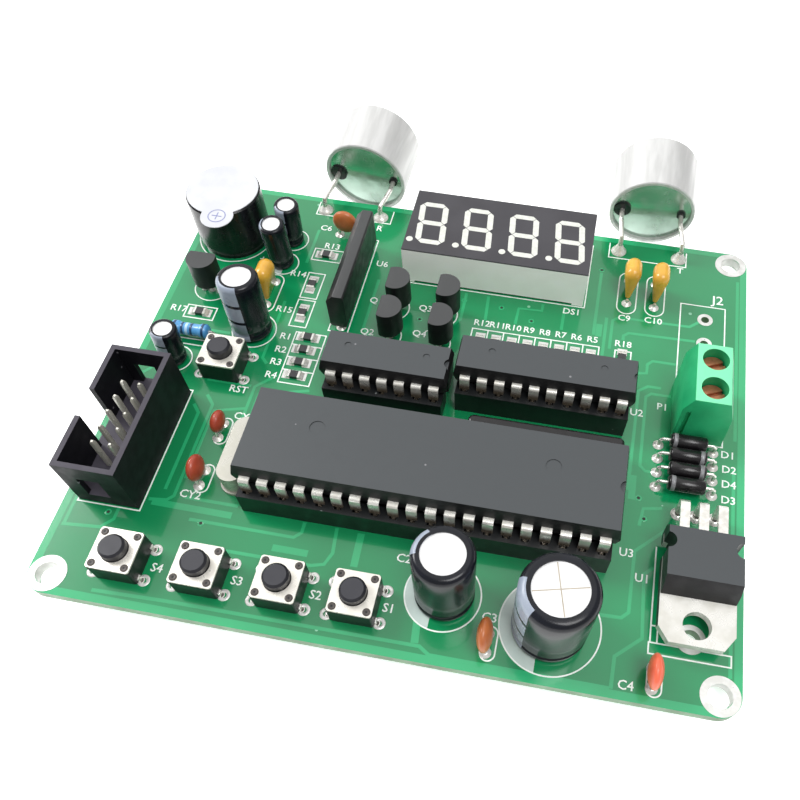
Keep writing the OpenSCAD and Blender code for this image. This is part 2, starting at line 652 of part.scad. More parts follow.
sleeve_t = 0.15;
sleeve_mouth = 0.7;        // radius of a sleeve's open top, as a share of the can's
shoulder = 0.15;           // bevel of a can's top edge, as a share of its radius

// Puts its children in a capacitor's own frame, raised so that a leaning one clears the board
module in_cap(e) at(e, e[2] / 2 * sin(e[5])) rotate([0, 0, e[6]]) rotate([0, e[5], 0]) children();

// Outline of a can with its crimped groove: radius r, from z to h
function can_outline(r, z, h) = let (g = r * 0.08, b = r * shoulder)
    [[0, z], [r, z], [r, 1.2], [r - g, 1.5], [r - g, 1.8], [r, 2.1], [r, h - b], [r - b, h], [0, h]];

module capacitor_cans() color(alloy) for (e = electrolytics) in_cap(e)
    rotate_extrude() polygon(can_outline(e[2] / 2 - sleeve_t, 0.5, e[3] - sleeve_t));

module capacitor_sleeves() color(black) for (e = electrolytics) in_cap(e) difference() {
    rotate_extrude() polygon(can_outline(e[2] / 2, 0.3, e[3]));
    rotate_extrude() polygon(can_outline(e[2] / 2 - sleeve_t, 0, e[3] - sleeve_t));
    cylinder(r = e[2] / 2 * sleeve_mouth, h = e[3] + cut);
}

module capacitor_bungs() color(black) for (e = electrolytics) in_cap(e)
    cylinder(r = e[2] / 2 - 0.45, h = 0.5);

// --- Small parts ---

module transistors() color(black) for (t = transistors_at) at(t, transistor_z) rotate([0, 0, t[2]])
    difference() {
        cylinder(r = transistor_r, h = transistor_h);
        translate([-transistor_flat - 10, -10, -cut]) cube([10, 20, transistor_h + 2 * cut]);
    }

module disc_capacitors() color([0.85, 0.33, 0.14]) for (d = discs) at(d, disc_z)
    rotate([0, 0, d[3]]) rotate([d[4], 0, 0]) translate([0, 0, d[2] / 2]) rotate([90, 0, 0])
        rotate_extrude() polygon([for (a = [-90:15:90]) [d[2] / 2 * cos(a), disc_t / 2 * sin(a)]]);

module dipped_capacitors() color([0.95, 0.68, 0.15]) for (d = dipped) at(d, dipped_z)
    hull() for (s = [-1, 1]) {
        translate([0, s * (dipped_l / 2 - dipped_r), dipped_h - dipped_r]) sphere(r = dipped_r, $fn = 20);
        translate([0, s * dipped_l / 2.6, 0]) cylinder(d = 0.9, h = 0.5, $fn = 20);
    }

module diodes() color(black) for (i = [0:diode_count - 1])
    at([diode_at[0], diode_at[1] + i * diode_step], diode_z + diode_d / 2) rotate([0, 90, 0])
        translate([0, 0, -diode_l / 2]) rotate_extrude() let (r = diode_d / 2) polygon([
            [wire_d / 2 + fit_gap, 0], [r - 0.2, 0], [r, 0.25], [r, diode_l - 0.25],
            [r - 0.2, diode_l], [wire_d / 2 + fit_gap, diode_l]]);

module film_resistor() color([0.35, 0.65, 0.85]) at(film_at, film_z + film_d / 2) rotate([0, 90, 0])
    translate([0, 0, -film_l / 2]) rotate_extrude() let (r = film_d / 2, l = film_l, n = r * 0.84)
        polygon([[wire_d / 2 + fit_gap, 0], [r - 0.3, 0], [r, 0.35], [r, 1.1], [n, 1.5], [n, l - 1.5],
            [r, l - 1.1], [r, l - 0.35], [r - 0.3, l], [wire_d / 2 + fit_gap, l]]);

module chip_resistors() for (c = chip_resistors_at) at(c) rotate([0, 0, c[2] * 90]) {
    color(black) block([chip_r[0] - 2 * chip_cap, chip_r[1], chip_r[2]]);
    color(tin) for (s = [-1, 1]) translate([s * (chip_r[0] - chip_cap) / 2, 0, 0])
        block([chip_cap, chip_r[1], chip_r[2]]);
}

// An axial part's lead: out of the body, along, and down through the board
module axial_lead(where, span, z) for (s = [-1, 1])
    translate([-board_w / 2, -board_d / 2, seat_z]) let (x = where[0], y = where[1], h = s * span / 2)
        wire([[x, y, z], [x + h - s * 0.4, y, z], [x + h, y, z - 0.4], [x + h, y, -board_t - tail]], wire_d);

module small_part_leads() color(tin) {
    for (p = pair_points(crystal_at, crystal_span, 90, wire_d, 0)) tail_to(p, 0);
    for (t = transistors_at, p = transistor_points(t)) tail_to(p, transistor_z);
    for (e = electrolytics) difference() {
        for (p = pair_points(e, e[4], e[6], wire_d, 0)) tail_to(p, 1.5);
        in_cap(e) translate([-5, -5, 0]) cube(10);
    }
    for (d = discs) difference() {
        for (p = pair_points(d, pitch, d[3], wire_d, 1)) tail_to(p, disc_z + 1.4);
        disc_hollow(d);
    }
    for (d = dipped, p = pair_points(d, dipped_pitch, 90, wire_d, 1)) tail_to(p, dipped_z);
    for (i = [0:diode_count - 1])
        axial_lead([diode_at[0], diode_at[1] + i * diode_step], diode_span, diode_z + diode_d / 2);
    axial_lead(film_at, film_span, film_z + film_d / 2);
}

// The space that a disc capacitor fills, for trimming its leads
module disc_hollow(d) at(d, disc_z) rotate([0, 0, d[3]]) rotate([d[4], 0, 0])
    translate([0, 0, d[2] / 2]) rotate([90, 0, 0])
        rotate_extrude() polygon([for (a = [-90:15:90]) [d[2] / 2 * cos(a), disc_t / 2 * sin(a)]]);

// --- Header ---

module header_shell() color(black) at(header_at) difference() {
    block([shell_w, shell_l, shell_h]);
    block([shell_w - 2 * shell_wall, shell_l - 2 * shell_wall, shell_h], shell_floor);
    translate([-shell_w / 2, 0, 0]) block([2 * shell_wall + 0.4, key_w, shell_h], shell_floor);
    translate([-0.5, 0, 0]) block([3.2, shell_l + 2 * cut, 4.2], shell_floor);
    for (x = [-0.5, 0.5], i = [0:4]) translate([x * pitch, row_x(5, i), 0])
        block([post + 2 * fit_gap, post + 2 * fit_gap, shell_h], -cut);
}

module header_pins() color(tin)
    for (x = [-0.5, 0.5], p = row_points([header_at[0] + x * pitch, header_at[1]], 5, [post, post], 0, 1))
        at(p, -board_t - tail) let (h = board_t + tail + shell_h - 1.2, w = post / 2)
            intersection_for (a = [0, 90]) rotate([0, 0, a])
                along_x(post, [[-w, 0], [w, 0], [w, h - 0.4], [w / 2, h], [-w / 2, h], [-w, h - 0.4]]);

// --- Screw terminal ---

bar_z = 3.6;               // underside of the fixed bar
bar_t = 0.6;
tip_z = bar_z + bar_t + 0.05;      // end of a screw's thread
cage_w = 3.3;              // across the pole
cage_l = 3;                // along the wire
cage_pocket = cage_l + 2;  // length of the space that a clamp moves in
cage_wall = 0.6;
cage_z = 0.9;              // underside of the open clamp
cage_top = 4.4;            // underside of the clamp's threaded top
cage_top_t = 0.8;
shelf_z = cage_top + cage_top_t + clamp_rise + 0.05;
shelf_t = 0.3;
terminal_l = 2 * pole + 0.1;

// Repeats its children at the front and back pole
module each_pole() for (s = [-0.5, 0.5]) translate([0, s * pole, 0]) children();

module terminal_housing() color([0.35, 0.85, 0.6]) at(terminal_at) difference() {
    let (w = terminal_w / 2, h = terminal_h)
        rotate([90, 0, 0]) translate([0, 0, -terminal_l / 2]) linear_extrude(terminal_l) polygon([
            [-w, 0], [-w, h - 2.4], [1.15 - w, h], [w - 1.45, h], [w - 0.3, h - 3.25], [w, 0]]);
    each_pole() {
        block([cage_pocket, cage_w + 0.3, shelf_z], 0);
        translate([0, 0, -cut]) block([cage_pocket, cage_w + 0.3, 2 * cut]);
        translate([2, 0, 0]) block([4, 3, 2.6], 1.3);
        cylinder(d = thread_d + 0.2, h = terminal_h);
        translate([0, 0, shelf_z + shelf_t]) cylinder(d = well_hole_d, h = terminal_h);
    }
    translate([-2.75, -terminal_l / 2, 1]) block([0.6, 0.8, 6]);
}

// Fixed bar inside the clamp, its upright leg, its foot and its tail
module terminal_contacts() color(tin) at(terminal_at) each_pole() let (w = cage_w - 2 * cage_wall - 0.2)
    union() {
        translate([-2.4, -w / 2, bar_z]) cube([2.4 + cage_l / 2, w, bar_t]);
        translate([-2.4, -w / 2, 0]) cube([0.55, w, bar_z + bar_t]);
        translate([-2.4, -w / 2, 0]) cube([2.9, w, 0.5]);
        block([terminal_pin[0], terminal_pin[1], board_t + tail + 0.2], -board_t - tail);
    }

module screw(s) color("goldenrod") at([terminal_at[0], terminal_at[1] + s * pole]) difference() {
    union() {
        translate([0, 0, tip_z]) cylinder(d = thread_d, h = shelf_z + shelf_t + 0.05 - tip_z);
        translate([0, 0, shelf_z + shelf_t + 0.01]) cylinder(d = head_d, h = 1);
    }
    translate([0, 0, shelf_z + shelf_t + 0.51]) rotate([0, 0, 25]) block([head_d + cut, 0.6, 1]);
}

module clamp(s) color("silver") at([terminal_at[0], terminal_at[1] + s * pole], cage_z) difference() {
    block([cage_l, cage_w, cage_top + cage_top_t - cage_z]);
    block([cage_l + cut, cage_w - 2 * cage_wall, cage_top - cage_z - cage_wall], cage_wall);
    translate([0, 0, tip_z - clamp_rise - cage_z - 0.2])
        cylinder(d = thread_d + 2 * run_gap, h = cage_top + cage_top_t);
}

module terminal_screw_front() screw(-0.5);
module terminal_screw_back() screw(0.5);
module terminal_clamp_front() clamp(-0.5);
module terminal_clamp_back() clamp(0.5);

// --- Regulator ---

reg_body_y = reg_l - reg_body_l;

module regulator_moulding() color(grey) at(regulator_at, reg_z) difference() {
    along_x(reg_w - 0.1, [[reg_body_y, tab_t], [reg_body_y + 0.5, reg_t - 1.4],
        [reg_body_y + 1.4, reg_t], [reg_l - 0.8, reg_t], [reg_l, tab_t + 1.6], [reg_l, tab_t + 0.8],
        [reg_l - 0.1, 0.1], [reg_l - 0.6, 0.1], [reg_l - 0.6, tab_t]]);
    for (x = [-1, 1]) translate([x * reg_w / 2, reg_l - 2.9, -cut]) cylinder(r = 1.1, h = reg_t + 2 * cut);
}

module regulator_tab() color(alloy) at(regulator_at, reg_z) difference() {
    linear_extrude(tab_t) let (w = reg_w / 2) polygon([[-w, 2], [1.4 - w, 0], [w - 1.4, 0], [w, 2],
        [w, reg_l - 0.6], [-w, reg_l - 0.6]]);
    translate([0, 2.7, -cut]) cylinder(d = tab_hole_d, h = tab_t + 2 * cut);
    for (x = [-1, 1]) translate([x * reg_w / 2, reg_l - 2.9, -cut]) cylinder(r = 1.1, h = tab_t + 2 * cut);
}

// Three flat leads, wide near the body, bent down to their holes
module regulator_leads() color(tin) for (i = [-1:1]) at([regulator_at[0] + i * pitch, regulator_hole_y])
    let (z = reg_lead_z, t = reg_pin[1], y = regulator_at[1] + reg_l - regulator_hole_y, r = 0.9) union() {
        along_x(1.3, concat([[y, z - t / 2], [y, z + t / 2]],
            arc([t / 2 - r, z + t / 2 - r], r, 90, 0), [[t / 2, 1.2], [-t / 2, 1.2]],
            arc([t / 2 - r, z + t / 2 - r], r - t, 0, 90)));
        block([reg_pin[0], t, board_t + tail + 1.3], -board_t - tail);
    }

// --- Push switches ---

cavity_d = button_d + 1.1;
cavity_z = 1.5;
flange_t = 0.6;

module each_rivet() for (x = [-1, 1], y = [-1, 1])
    translate([x * (switch_w / 2 - 0.75), y * (switch_w / 2 - 0.75), 0]) children();

module switch_bases() color(black) for (s = button_at) at(s) {
    difference() {
        rounded_plate(switch_w, switch_w, switch_h, 0.4);
        translate([0, 0, cavity_z]) cylinder(d = cavity_d, h = switch_h);
    }
    each_rivet() cylinder(d = 1, h = switch_h + plate_t + 0.08, $fn = 24);
}

// Cover plate held by four rivets, and the snap dome on the cavity's floor
module switch_plates_and_domes() color(alloy) for (s = button_at) at(s) {
    difference() {
        translate([0, 0, switch_h]) rounded_plate(switch_w - 0.1, switch_w - 0.1, plate_t, 0.4);
        cylinder(d = button_d + 2 * button_gap, h = 2 * switch_h);
        each_rivet() cylinder(d = 1, h = 2 * switch_h, $fn = 24);
    }
    translate([0, 0, cavity_z]) rotate_extrude() let (r = cavity_d / 2 - 0.2) polygon([
        [0, 0.3], [r * 0.6, 0.22], [r, 0], [r + 0.1, 0], [r + 0.1, 0.06], [r * 0.6, 0.32], [0, 0.4]]);
}

module switch_legs() color(tin) for (s = button_at, p = switch_points(s)) union()
    at(p, -board_t - tail) block([switch_pin[1], switch_pin[0], board_t + tail + 1]);

// Cap, retaining flange and a plunger that stands over the dome
module button(s) color(black) at(s) rotate_extrude() let (r = button_d / 2, z = switch_h - flange_t - 0.05)
    polygon([[0, z - 0.4], [0.8, z - 0.4], [0.8, z], [r + 0.35, z], [r + 0.35, z + flange_t],
        [r, z + flange_t], [r, button_top - 0.3], [r - 0.3, button_top], [0, button_top]]);

module button_1() button(button_at[0]);
module button_2() button(button_at[1]);
module button_3() button(button_at[2]);
module button_4() button(button_at[3]);
module reset_button() button(button_at[4]);

circuit_board();
tinned_lands();
solder_joints();
mcu_socket();
driver_socket();
inverter_socket();
socket_contacts();
mcu_chip();
mcu_chip_leads();
driver_chip();
driver_chip_leads();
inverter_chip();
inverter_chip_leads();
receiver_chip();
resistor_network();
sip_leads();
crystal_can();
display_housing();
display_face();
display_segments();
display_pins();
transmitter_can();
receiver_can();
transducer_works();
transducer_grilles();
transducer_beads();
transducer_leads();
buzzer_case();
buzzer_label();
buzzer_works();
buzzer_pins();
capacitor_cans();
capacitor_sleeves();
capacitor_bungs();
transistors();
disc_capacitors();
dipped_capacitors();
diodes();
film_resistor();
chip_resistors();
small_part_leads();
header_shell();
header_pins();
terminal_housing();
terminal_contacts();
terminal_screw_front();
terminal_screw_back();
terminal_clamp_front();
terminal_clamp_back();
regulator_moulding();
regulator_tab();
regulator_leads();
switch_bases();
switch_plates_and_domes();
switch_legs();
button_1();
button_2();
button_3();
button_4();
reset_button();
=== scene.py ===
"""Looks of an ultrasonic distance meter board: finishes, printing and fine detail over its solids."""

from __future__ import annotations

import logging
import math
from dataclasses import dataclass
from enum import Enum
from typing import Iterable, Sequence

import bmesh
import bpy
from mathutils import Matrix, Vector


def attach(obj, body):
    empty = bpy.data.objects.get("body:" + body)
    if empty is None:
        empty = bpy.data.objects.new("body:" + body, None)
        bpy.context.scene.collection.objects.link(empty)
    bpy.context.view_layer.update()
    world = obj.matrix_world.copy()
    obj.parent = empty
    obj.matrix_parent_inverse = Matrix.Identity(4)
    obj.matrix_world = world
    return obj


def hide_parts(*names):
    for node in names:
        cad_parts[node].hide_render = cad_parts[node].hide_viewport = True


LOG = logging.getLogger("distance_meter")
MM = 0.001
BOARD_W, BOARD_D, BOARD_T = 94.5, 80.0, 1.6
PITCH = 2.54
GRAIN_DEPTH = 0.02 * MM
CRISP = 35.0

Triple = tuple[float, float, float]
Colour = Triple
Spot = tuple[float, float]
Link = tuple[bpy.types.Node, str | int, bpy.types.Node, str | int]

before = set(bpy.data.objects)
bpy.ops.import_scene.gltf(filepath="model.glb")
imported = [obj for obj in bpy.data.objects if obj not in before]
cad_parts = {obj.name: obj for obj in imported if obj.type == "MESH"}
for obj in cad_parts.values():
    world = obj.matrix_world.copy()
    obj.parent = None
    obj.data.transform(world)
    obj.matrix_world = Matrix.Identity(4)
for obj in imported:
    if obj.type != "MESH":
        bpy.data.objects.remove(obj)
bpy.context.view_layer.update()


class Carrier(Enum):
    """The bodies that pieces ride on."""

    BOARD = "board"
    MCU = "mcu"
    DRIVER = "driver"
    INVERTER = "inverter"
    FRONT_SCREW = "front_screw"
    BACK_SCREW = "back_screw"
    FRONT_CLAMP = "front_clamp"
    BACK_CLAMP = "back_clamp"
    BUTTON_1 = "button_1"
    BUTTON_2 = "button_2"
    BUTTON_3 = "button_3"
    BUTTON_4 = "button_4"
    RESET_BUTTON = "reset_button"


def spot(x: float, y: float, z: float = 0.0) -> Vector:
    """A place over the board, in metres.

    Args:
        x: Distance from the board's left edge, in mm.
        y: Distance from the board's front edge, in mm.
        z: Height above the board's top face, in mm.

    Returns:
        The place in the object's frame.
    """
    return Vector((x - BOARD_W / 2, y - BOARD_D / 2, z + BOARD_T)) * MM


# --- Finishes ---


@dataclass(frozen=True)
class Finish:
    """One surface finish: its colours, its gloss and its fine texture."""

    name: str
    colour: Colour
    shade: Colour
    cloud: float = 500.0
    roughness: float = 0.5
    spread: float = 0.06
    metallic: float = 0.0
    coat: float = 0.0
    coat_roughness: float = 0.06
    specular: float = 0.5
    grain: float = 0.15
    grain_scale: float = 6000.0
    stretch: Triple = (1.0, 1.0, 1.0)
    specks: float = 0.0
    speck_scale: float = 900.0
    speck_colour: Colour = (0.75, 0.78, 0.75)
    # top: colour painted on faces that look up, a painted highlight standing in for light from above
    top: Colour | None = None
    foot: Colour | None = None
    foot_from: float = 0.0
    foot_to: float = 0.001
    # Light given off by the surface: the floor's even brightness, and on the display shell painted light that
    # brightens its shaded faces.
    glow: float = 0.0


def group_tree(
    name: str, inputs: dict[str, float | Colour | str], outputs: dict[str, str]
) -> tuple[bpy.types.NodeTree, bpy.types.Node, bpy.types.Node]:
    """Starts a shader node group.

    Args:
        name: The group's name.
        inputs: Each input's default: a number, a colour, or "vector".
        outputs: Each output's kind: "colour" or "value".

    Returns:
        The tree, its input node and its output node.
    """
    tree = bpy.data.node_groups.new(name, "ShaderNodeTree")
    for label, default in inputs.items():
        kind = "NodeSocketVector" if default == "vector" else (
            "NodeSocketColor" if isinstance(default, tuple) else "NodeSocketFloat")
        socket = tree.interface.new_socket(name=label, in_out="INPUT", socket_type=kind)
        if isinstance(default, tuple):
            socket.default_value = (*default, 1.0)
        elif not isinstance(default, str):
            socket.default_value = default
    for label, kind in outputs.items():
        tree.interface.new_socket(
            name=label, in_out="OUTPUT",
            socket_type="NodeSocketColor" if kind == "colour" else "NodeSocketFloat")
    return tree, tree.nodes.new("NodeGroupInput"), tree.nodes.new("NodeGroupOutput")


def add(
    tree: bpy.types.NodeTree, kind: str, inputs: dict[str, object] | None = None, **settings: object
) -> bpy.types.Node:
    """Adds a node to a tree.

    Args:
        tree: The tree.
        kind: The node's type.
        inputs: Values of its unlinked inputs.
        **settings: Its own settings, made before the inputs are set.

    Returns:
        The node.
    """
    node = tree.nodes.new(kind)
    for label, value in settings.items():
        setattr(node, label, value)
    for label, value in (inputs or {}).items():
        node.inputs[label].default_value = value
    return node


def connect(tree: bpy.types.NodeTree, *links: Link) -> None:
    """Links nodes of a tree.

    Args:
        tree: The tree.
        *links: For each link its source node, output, target node and input.
    """
    for source, outlet, target, inlet in links:
        tree.links.new(source.outputs[outlet], target.inputs[inlet])


class Effects:
    """Shader effects that several finishes share, each built once."""

    def __init__(self) -> None:
        """Builds the groups."""
        self.clouds = self._clouds()
        self.grain = self._grain()
        self.top_highlight = self._top_highlight()
        self.specks = self._specks()
        self.foot = self._foot()

    @staticmethod
    def _clouds() -> bpy.types.NodeTree:
        """Soft patches of two colours, with their mask.

        Returns:
            The group.
        """
        tree, given, out = group_tree(
            "soft_clouds",
            {"Vector": "vector", "Scale": 500.0, "Low": (0.1, 0.1, 0.1), "High": (0.2, 0.2, 0.2)},
            {"Colour": "colour", "Mask": "value"})
        noise = add(tree, "ShaderNodeTexNoise", {"Detail": 3.0})
        spread = add(
            tree, "ShaderNodeMapRange", {"From Min": 0.32, "From Max": 0.68}, interpolation_type="SMOOTHSTEP")
        mix = add(tree, "ShaderNodeMix", data_type="RGBA")
        connect(
            tree, (given, "Vector", noise, "Vector"), (given, "Scale", noise, "Scale"),
            (noise, "Fac", spread, "Value"), (spread, "Result", mix, "Factor"), (given, "Low", mix, "A"),
            (given, "High", mix, "B"), (mix, "Result", out, "Colour"), (spread, "Result", out, "Mask"))
        return tree

    @staticmethod
    def _grain() -> bpy.types.NodeTree:
        """Fine height for a Bump node.

        Returns:
            The group.
        """
        tree, given, out = group_tree(
            "fine_grain", {"Vector": "vector", "Scale": 6000.0}, {"Height": "value"})
        noise = add(tree, "ShaderNodeTexNoise", {"Detail": 4.0, "Roughness": 0.6})
        connect(
            tree, (given, "Vector", noise, "Vector"), (given, "Scale", noise, "Scale"),
            (noise, "Fac", out, "Height"))
        return tree

    @staticmethod
    def _top_highlight() -> bpy.types.NodeTree:
        """How much a face looks up, from the surface's own normal: the mask that paints upper faces lighter,
        a painted highlight.

        Returns:
            The group.
        """
        tree, given, out = group_tree("painted_top_highlight", {"From": 0.6, "To": 0.95}, {"Mask": "value"})
        coord = add(tree, "ShaderNodeTexCoord")
        split = add(tree, "ShaderNodeSeparateXYZ")
        ramp = add(tree, "ShaderNodeMapRange")
        connect(
            tree, (coord, "Normal", split, "Vector"), (split, "Z", ramp, "Value"),
            (given, "From", ramp, "From Min"), (given, "To", ramp, "From Max"),
            (ramp, "Result", out, "Mask"))
        return tree

    @staticmethod
    def _specks() -> bpy.types.NodeTree:
        """Sparse small dots of dust, in random cells.

        Returns:
            The group.
        """
        tree, given, out = group_tree(
            "dust_specks", {"Vector": "vector", "Scale": 900.0, "Amount": 0.1, "Size": 0.12},
            {"Mask": "value"})
        cells = add(tree, "ShaderNodeTexVoronoi")
        near = add(tree, "ShaderNodeMath", operation="LESS_THAN")
        split = add(tree, "ShaderNodeSeparateColor")
        some = add(tree, "ShaderNodeMath", operation="LESS_THAN")
        both = add(tree, "ShaderNodeMath", operation="MULTIPLY")
        connect(
            tree, (given, "Vector", cells, "Vector"), (given, "Scale", cells, "Scale"),
            (cells, "Distance", near, 0), (given, "Size", near, 1), (cells, "Color", split, "Color"),
            (split, "Red", some, 0), (given, "Amount", some, 1), (near, "Value", both, 0),
            (some, "Value", both, 1), (both, "Value", out, "Mask"))
        return tree

    @staticmethod
    def _foot() -> bpy.types.NodeTree:
        """A fade between two heights.

        Returns:
            The group.
        """
        tree, given, out = group_tree(
            "height_fade", {"Vector": "vector", "From": 0.0, "To": 0.001}, {"Mask": "value"})
        split = add(tree, "ShaderNodeSeparateXYZ")
        ramp = add(
            tree, "ShaderNodeMapRange", {"To Min": 1.0, "To Max": 0.0}, interpolation_type="SMOOTHSTEP")
        connect(
            tree, (given, "Vector", split, "Vector"), (split, "Z", ramp, "Value"),
            (given, "From", ramp, "From Min"), (given, "To", ramp, "From Max"),
            (ramp, "Result", out, "Mask"))
        return tree


class Paintbox:
    """Makes each finish's material once."""

    def __init__(self) -> None:
        """Starts empty, with the shared effects."""
        self.effects = Effects()
        self.made: dict[str, bpy.types.Material] = {}

    def material(self, finish: Finish) -> bpy.types.Material:
        """The material of a finish.

        Args:
            finish: The finish to make.

        Returns:
            Its material, made on the first call.
        """
        if finish.name in self.made:
            return self.made[finish.name]
        made = bpy.data.materials.new(finish.name)
        made.use_nodes = True
        made.diffuse_color = (*finish.colour, 1.0)
        tree = made.node_tree
        shader = tree.nodes["Principled BSDF"]
        values = {
            "Metallic": finish.metallic, "Coat Weight": finish.coat, "Coat Roughness": finish.coat_roughness,
            "Specular IOR Level": finish.specular}
        # Emission: an evenly bright floor, and painted light on the display shell.
        if finish.glow > 0.0:
            values |= {"Emission Color": (*finish.colour, 1.0), "Emission Strength": finish.glow}
        for label, value in values.items():
            shader.inputs[label].default_value = value
        place = add(tree, "ShaderNodeTexCoord")
        stretch = add(tree, "ShaderNodeMapping", {"Scale": finish.stretch})
        clouds = self._use(
            tree, self.effects.clouds, Scale=finish.cloud, Low=finish.shade, High=finish.colour)
        grain = self._use(tree, self.effects.grain, Scale=finish.grain_scale)
        rough = add(tree, "ShaderNodeMapRange", {
            "To Min": min(1.0, finish.roughness + finish.spread),
            "To Max": max(0.02, finish.roughness - finish.spread)})
        bump = add(tree, "ShaderNodeBump", {"Strength": finish.grain, "Distance": GRAIN_DEPTH})
        connect(
            tree, (place, "Object", stretch, "Vector"), (stretch, "Vector", clouds, "Vector"),
            (stretch, "Vector", grain, "Vector"), (clouds, "Mask", rough, "Value"),
            (rough, "Result", shader, "Roughness"), (grain, "Height", bump, "Height"),
            (bump, "Normal", shader, "Normal"))
        colour = clouds.outputs["Colour"]
        # Painted highlight: faces that look up take the lighter top colour.
        if finish.top is not None:
            up = self._use(tree, self.effects.top_highlight)
            colour = self._mix(tree, up, colour, finish.top)
        if finish.foot is not None:
            fade = self._use(tree, self.effects.foot, From=finish.foot_from, To=finish.foot_to)
            connect(tree, (place, "Object", fade, "Vector"))
            colour = self._mix(tree, fade, colour, finish.foot)
        if finish.specks > 0.0:
            dust = self._use(tree, self.effects.specks, Scale=finish.speck_scale, Amount=finish.specks)
            connect(tree, (place, "Object", dust, "Vector"))
            colour = self._mix(tree, dust, colour, finish.speck_colour)
        tree.links.new(colour, shader.inputs["Base Color"])
        self.made[finish.name] = made
        return made

    @staticmethod
    def _use(tree: bpy.types.NodeTree, group: bpy.types.NodeTree, **values: float | Colour) -> bpy.types.Node:
        """Places an effect's group in a material and sets its unlinked inputs."""
        return add(
            tree, "ShaderNodeGroup",
            {label: (*value, 1.0) if isinstance(value, tuple) else value for label, value in values.items()},
            node_tree=group)

    @staticmethod
    def _mix(
        tree: bpy.types.NodeTree, effect: bpy.types.Node, under: bpy.types.NodeSocket, over: Colour
    ) -> bpy.types.NodeSocket:
        """Lays a colour over another where an effect's mask says so.

        Args:
            tree: The material's nodes.
            effect: The effect whose mask shows the upper colour.
            under: The colour beneath.
            over: The colour on top.

        Returns:
            The mixed colour's socket.
        """
        mix = add(tree, "ShaderNodeMix", {"B": (*over, 1.0)}, data_type="RGBA")
        connect(tree, (effect, "Mask", mix, "Factor"))
        tree.links.new(under, mix.inputs["A"])
        return mix.outputs["Result"]


MASK = Finish("solder_mask", (0.004, 0.25, 0.086), (0.003, 0.2, 0.066), cloud=38.0, roughness=0.2,
              spread=0.04, coat=0.6, coat_roughness=0.04, grain=0.05, grain_scale=1500.0, specks=0.05,
              speck_scale=420.0, speck_colour=(0.2, 0.5, 0.32))
TRACK = Finish("masked_track", (0.02, 0.38, 0.15), (0.016, 0.33, 0.125), cloud=60.0, roughness=0.2,
               spread=0.04, coat=0.6, coat_roughness=0.04, grain=0.05, grain_scale=1500.0)
BARE_EDGE = Finish("laminate_edge", (0.13, 0.27, 0.13), (0.1, 0.19, 0.09), cloud=300.0, roughness=0.45,
                   coat=0.1)
INK = Finish("printing_ink", (0.86, 0.9, 0.86), (0.74, 0.82, 0.76), cloud=900.0, roughness=0.45, grain=0.2)
PALE_INK = Finish("pale_ink", (0.52, 0.62, 0.58), (0.48, 0.58, 0.54), cloud=700.0, roughness=0.35, coat=0.3)
SOLDER = Finish("solder", (0.86, 0.85, 0.81), (0.66, 0.64, 0.59), cloud=1800.0, roughness=0.3, spread=0.1,
                metallic=0.4, grain=0.4, grain_scale=2600.0)
LAND = Finish("tinned_land", (0.72, 0.72, 0.7), (0.6, 0.6, 0.57), cloud=900.0, roughness=0.38, metallic=0.4,
              grain=0.5, grain_scale=2200.0, specks=0.06, speck_scale=1500.0, speck_colour=(0.3, 0.3, 0.28))
TIN = Finish("tinned_lead", (0.88, 0.86, 0.82), (0.7, 0.68, 0.63), cloud=1200.0, roughness=0.3, spread=0.1,
             metallic=0.8, grain=0.35, grain_scale=3000.0)
CHIP_LEAD = Finish("chip_lead", (0.84, 0.83, 0.78), (0.66, 0.64, 0.58), cloud=900.0, roughness=0.32,
                   spread=0.1, metallic=0.6, grain=0.12, grain_scale=3000.0, foot=(0.22, 0.18, 0.13),
                   foot_from=0.0062, foot_to=0.0074)
# top: the moulding's upper faces are painted lighter grey than its sides, a painted highlight.
CHIP = Finish("chip_moulding", (0.01, 0.01, 0.011), (0.007, 0.007, 0.008), cloud=600.0, roughness=0.46,
              grain=0.5, grain_scale=5200.0, top=(0.05, 0.056, 0.06), specks=0.035, speck_scale=700.0,
              speck_colour=(0.2, 0.2, 0.21), specular=0.45)
# top: upper faces painted lighter grey than the black sides, a painted highlight.
SMALL_MOULDING = Finish("small_moulding", (0.009, 0.009, 0.01), (0.006, 0.006, 0.007), cloud=700.0,
                        roughness=0.42, grain=0.5, grain_scale=5200.0, top=(0.048, 0.05, 0.051),
                        specks=0.03, speck_colour=(0.2, 0.2, 0.2), specular=0.4)
SOCKET = Finish("socket_plastic", (0.008, 0.009, 0.01), (0.006, 0.007, 0.008), roughness=0.36, coat=0.05,
                grain=0.25, grain_scale=3500.0, specks=0.04, speck_scale=800.0,
                speck_colour=(0.12, 0.13, 0.13), specular=0.35)
BLACK_GLOSS = Finish("black_gloss", (0.007, 0.007, 0.009), (0.005, 0.005, 0.006), cloud=400.0,
                     roughness=0.26, spread=0.04, coat=0.1, coat_roughness=0.15, grain=0.06,
                     grain_scale=1500.0, specks=0.03, speck_colour=(0.2, 0.2, 0.21), specular=0.4)
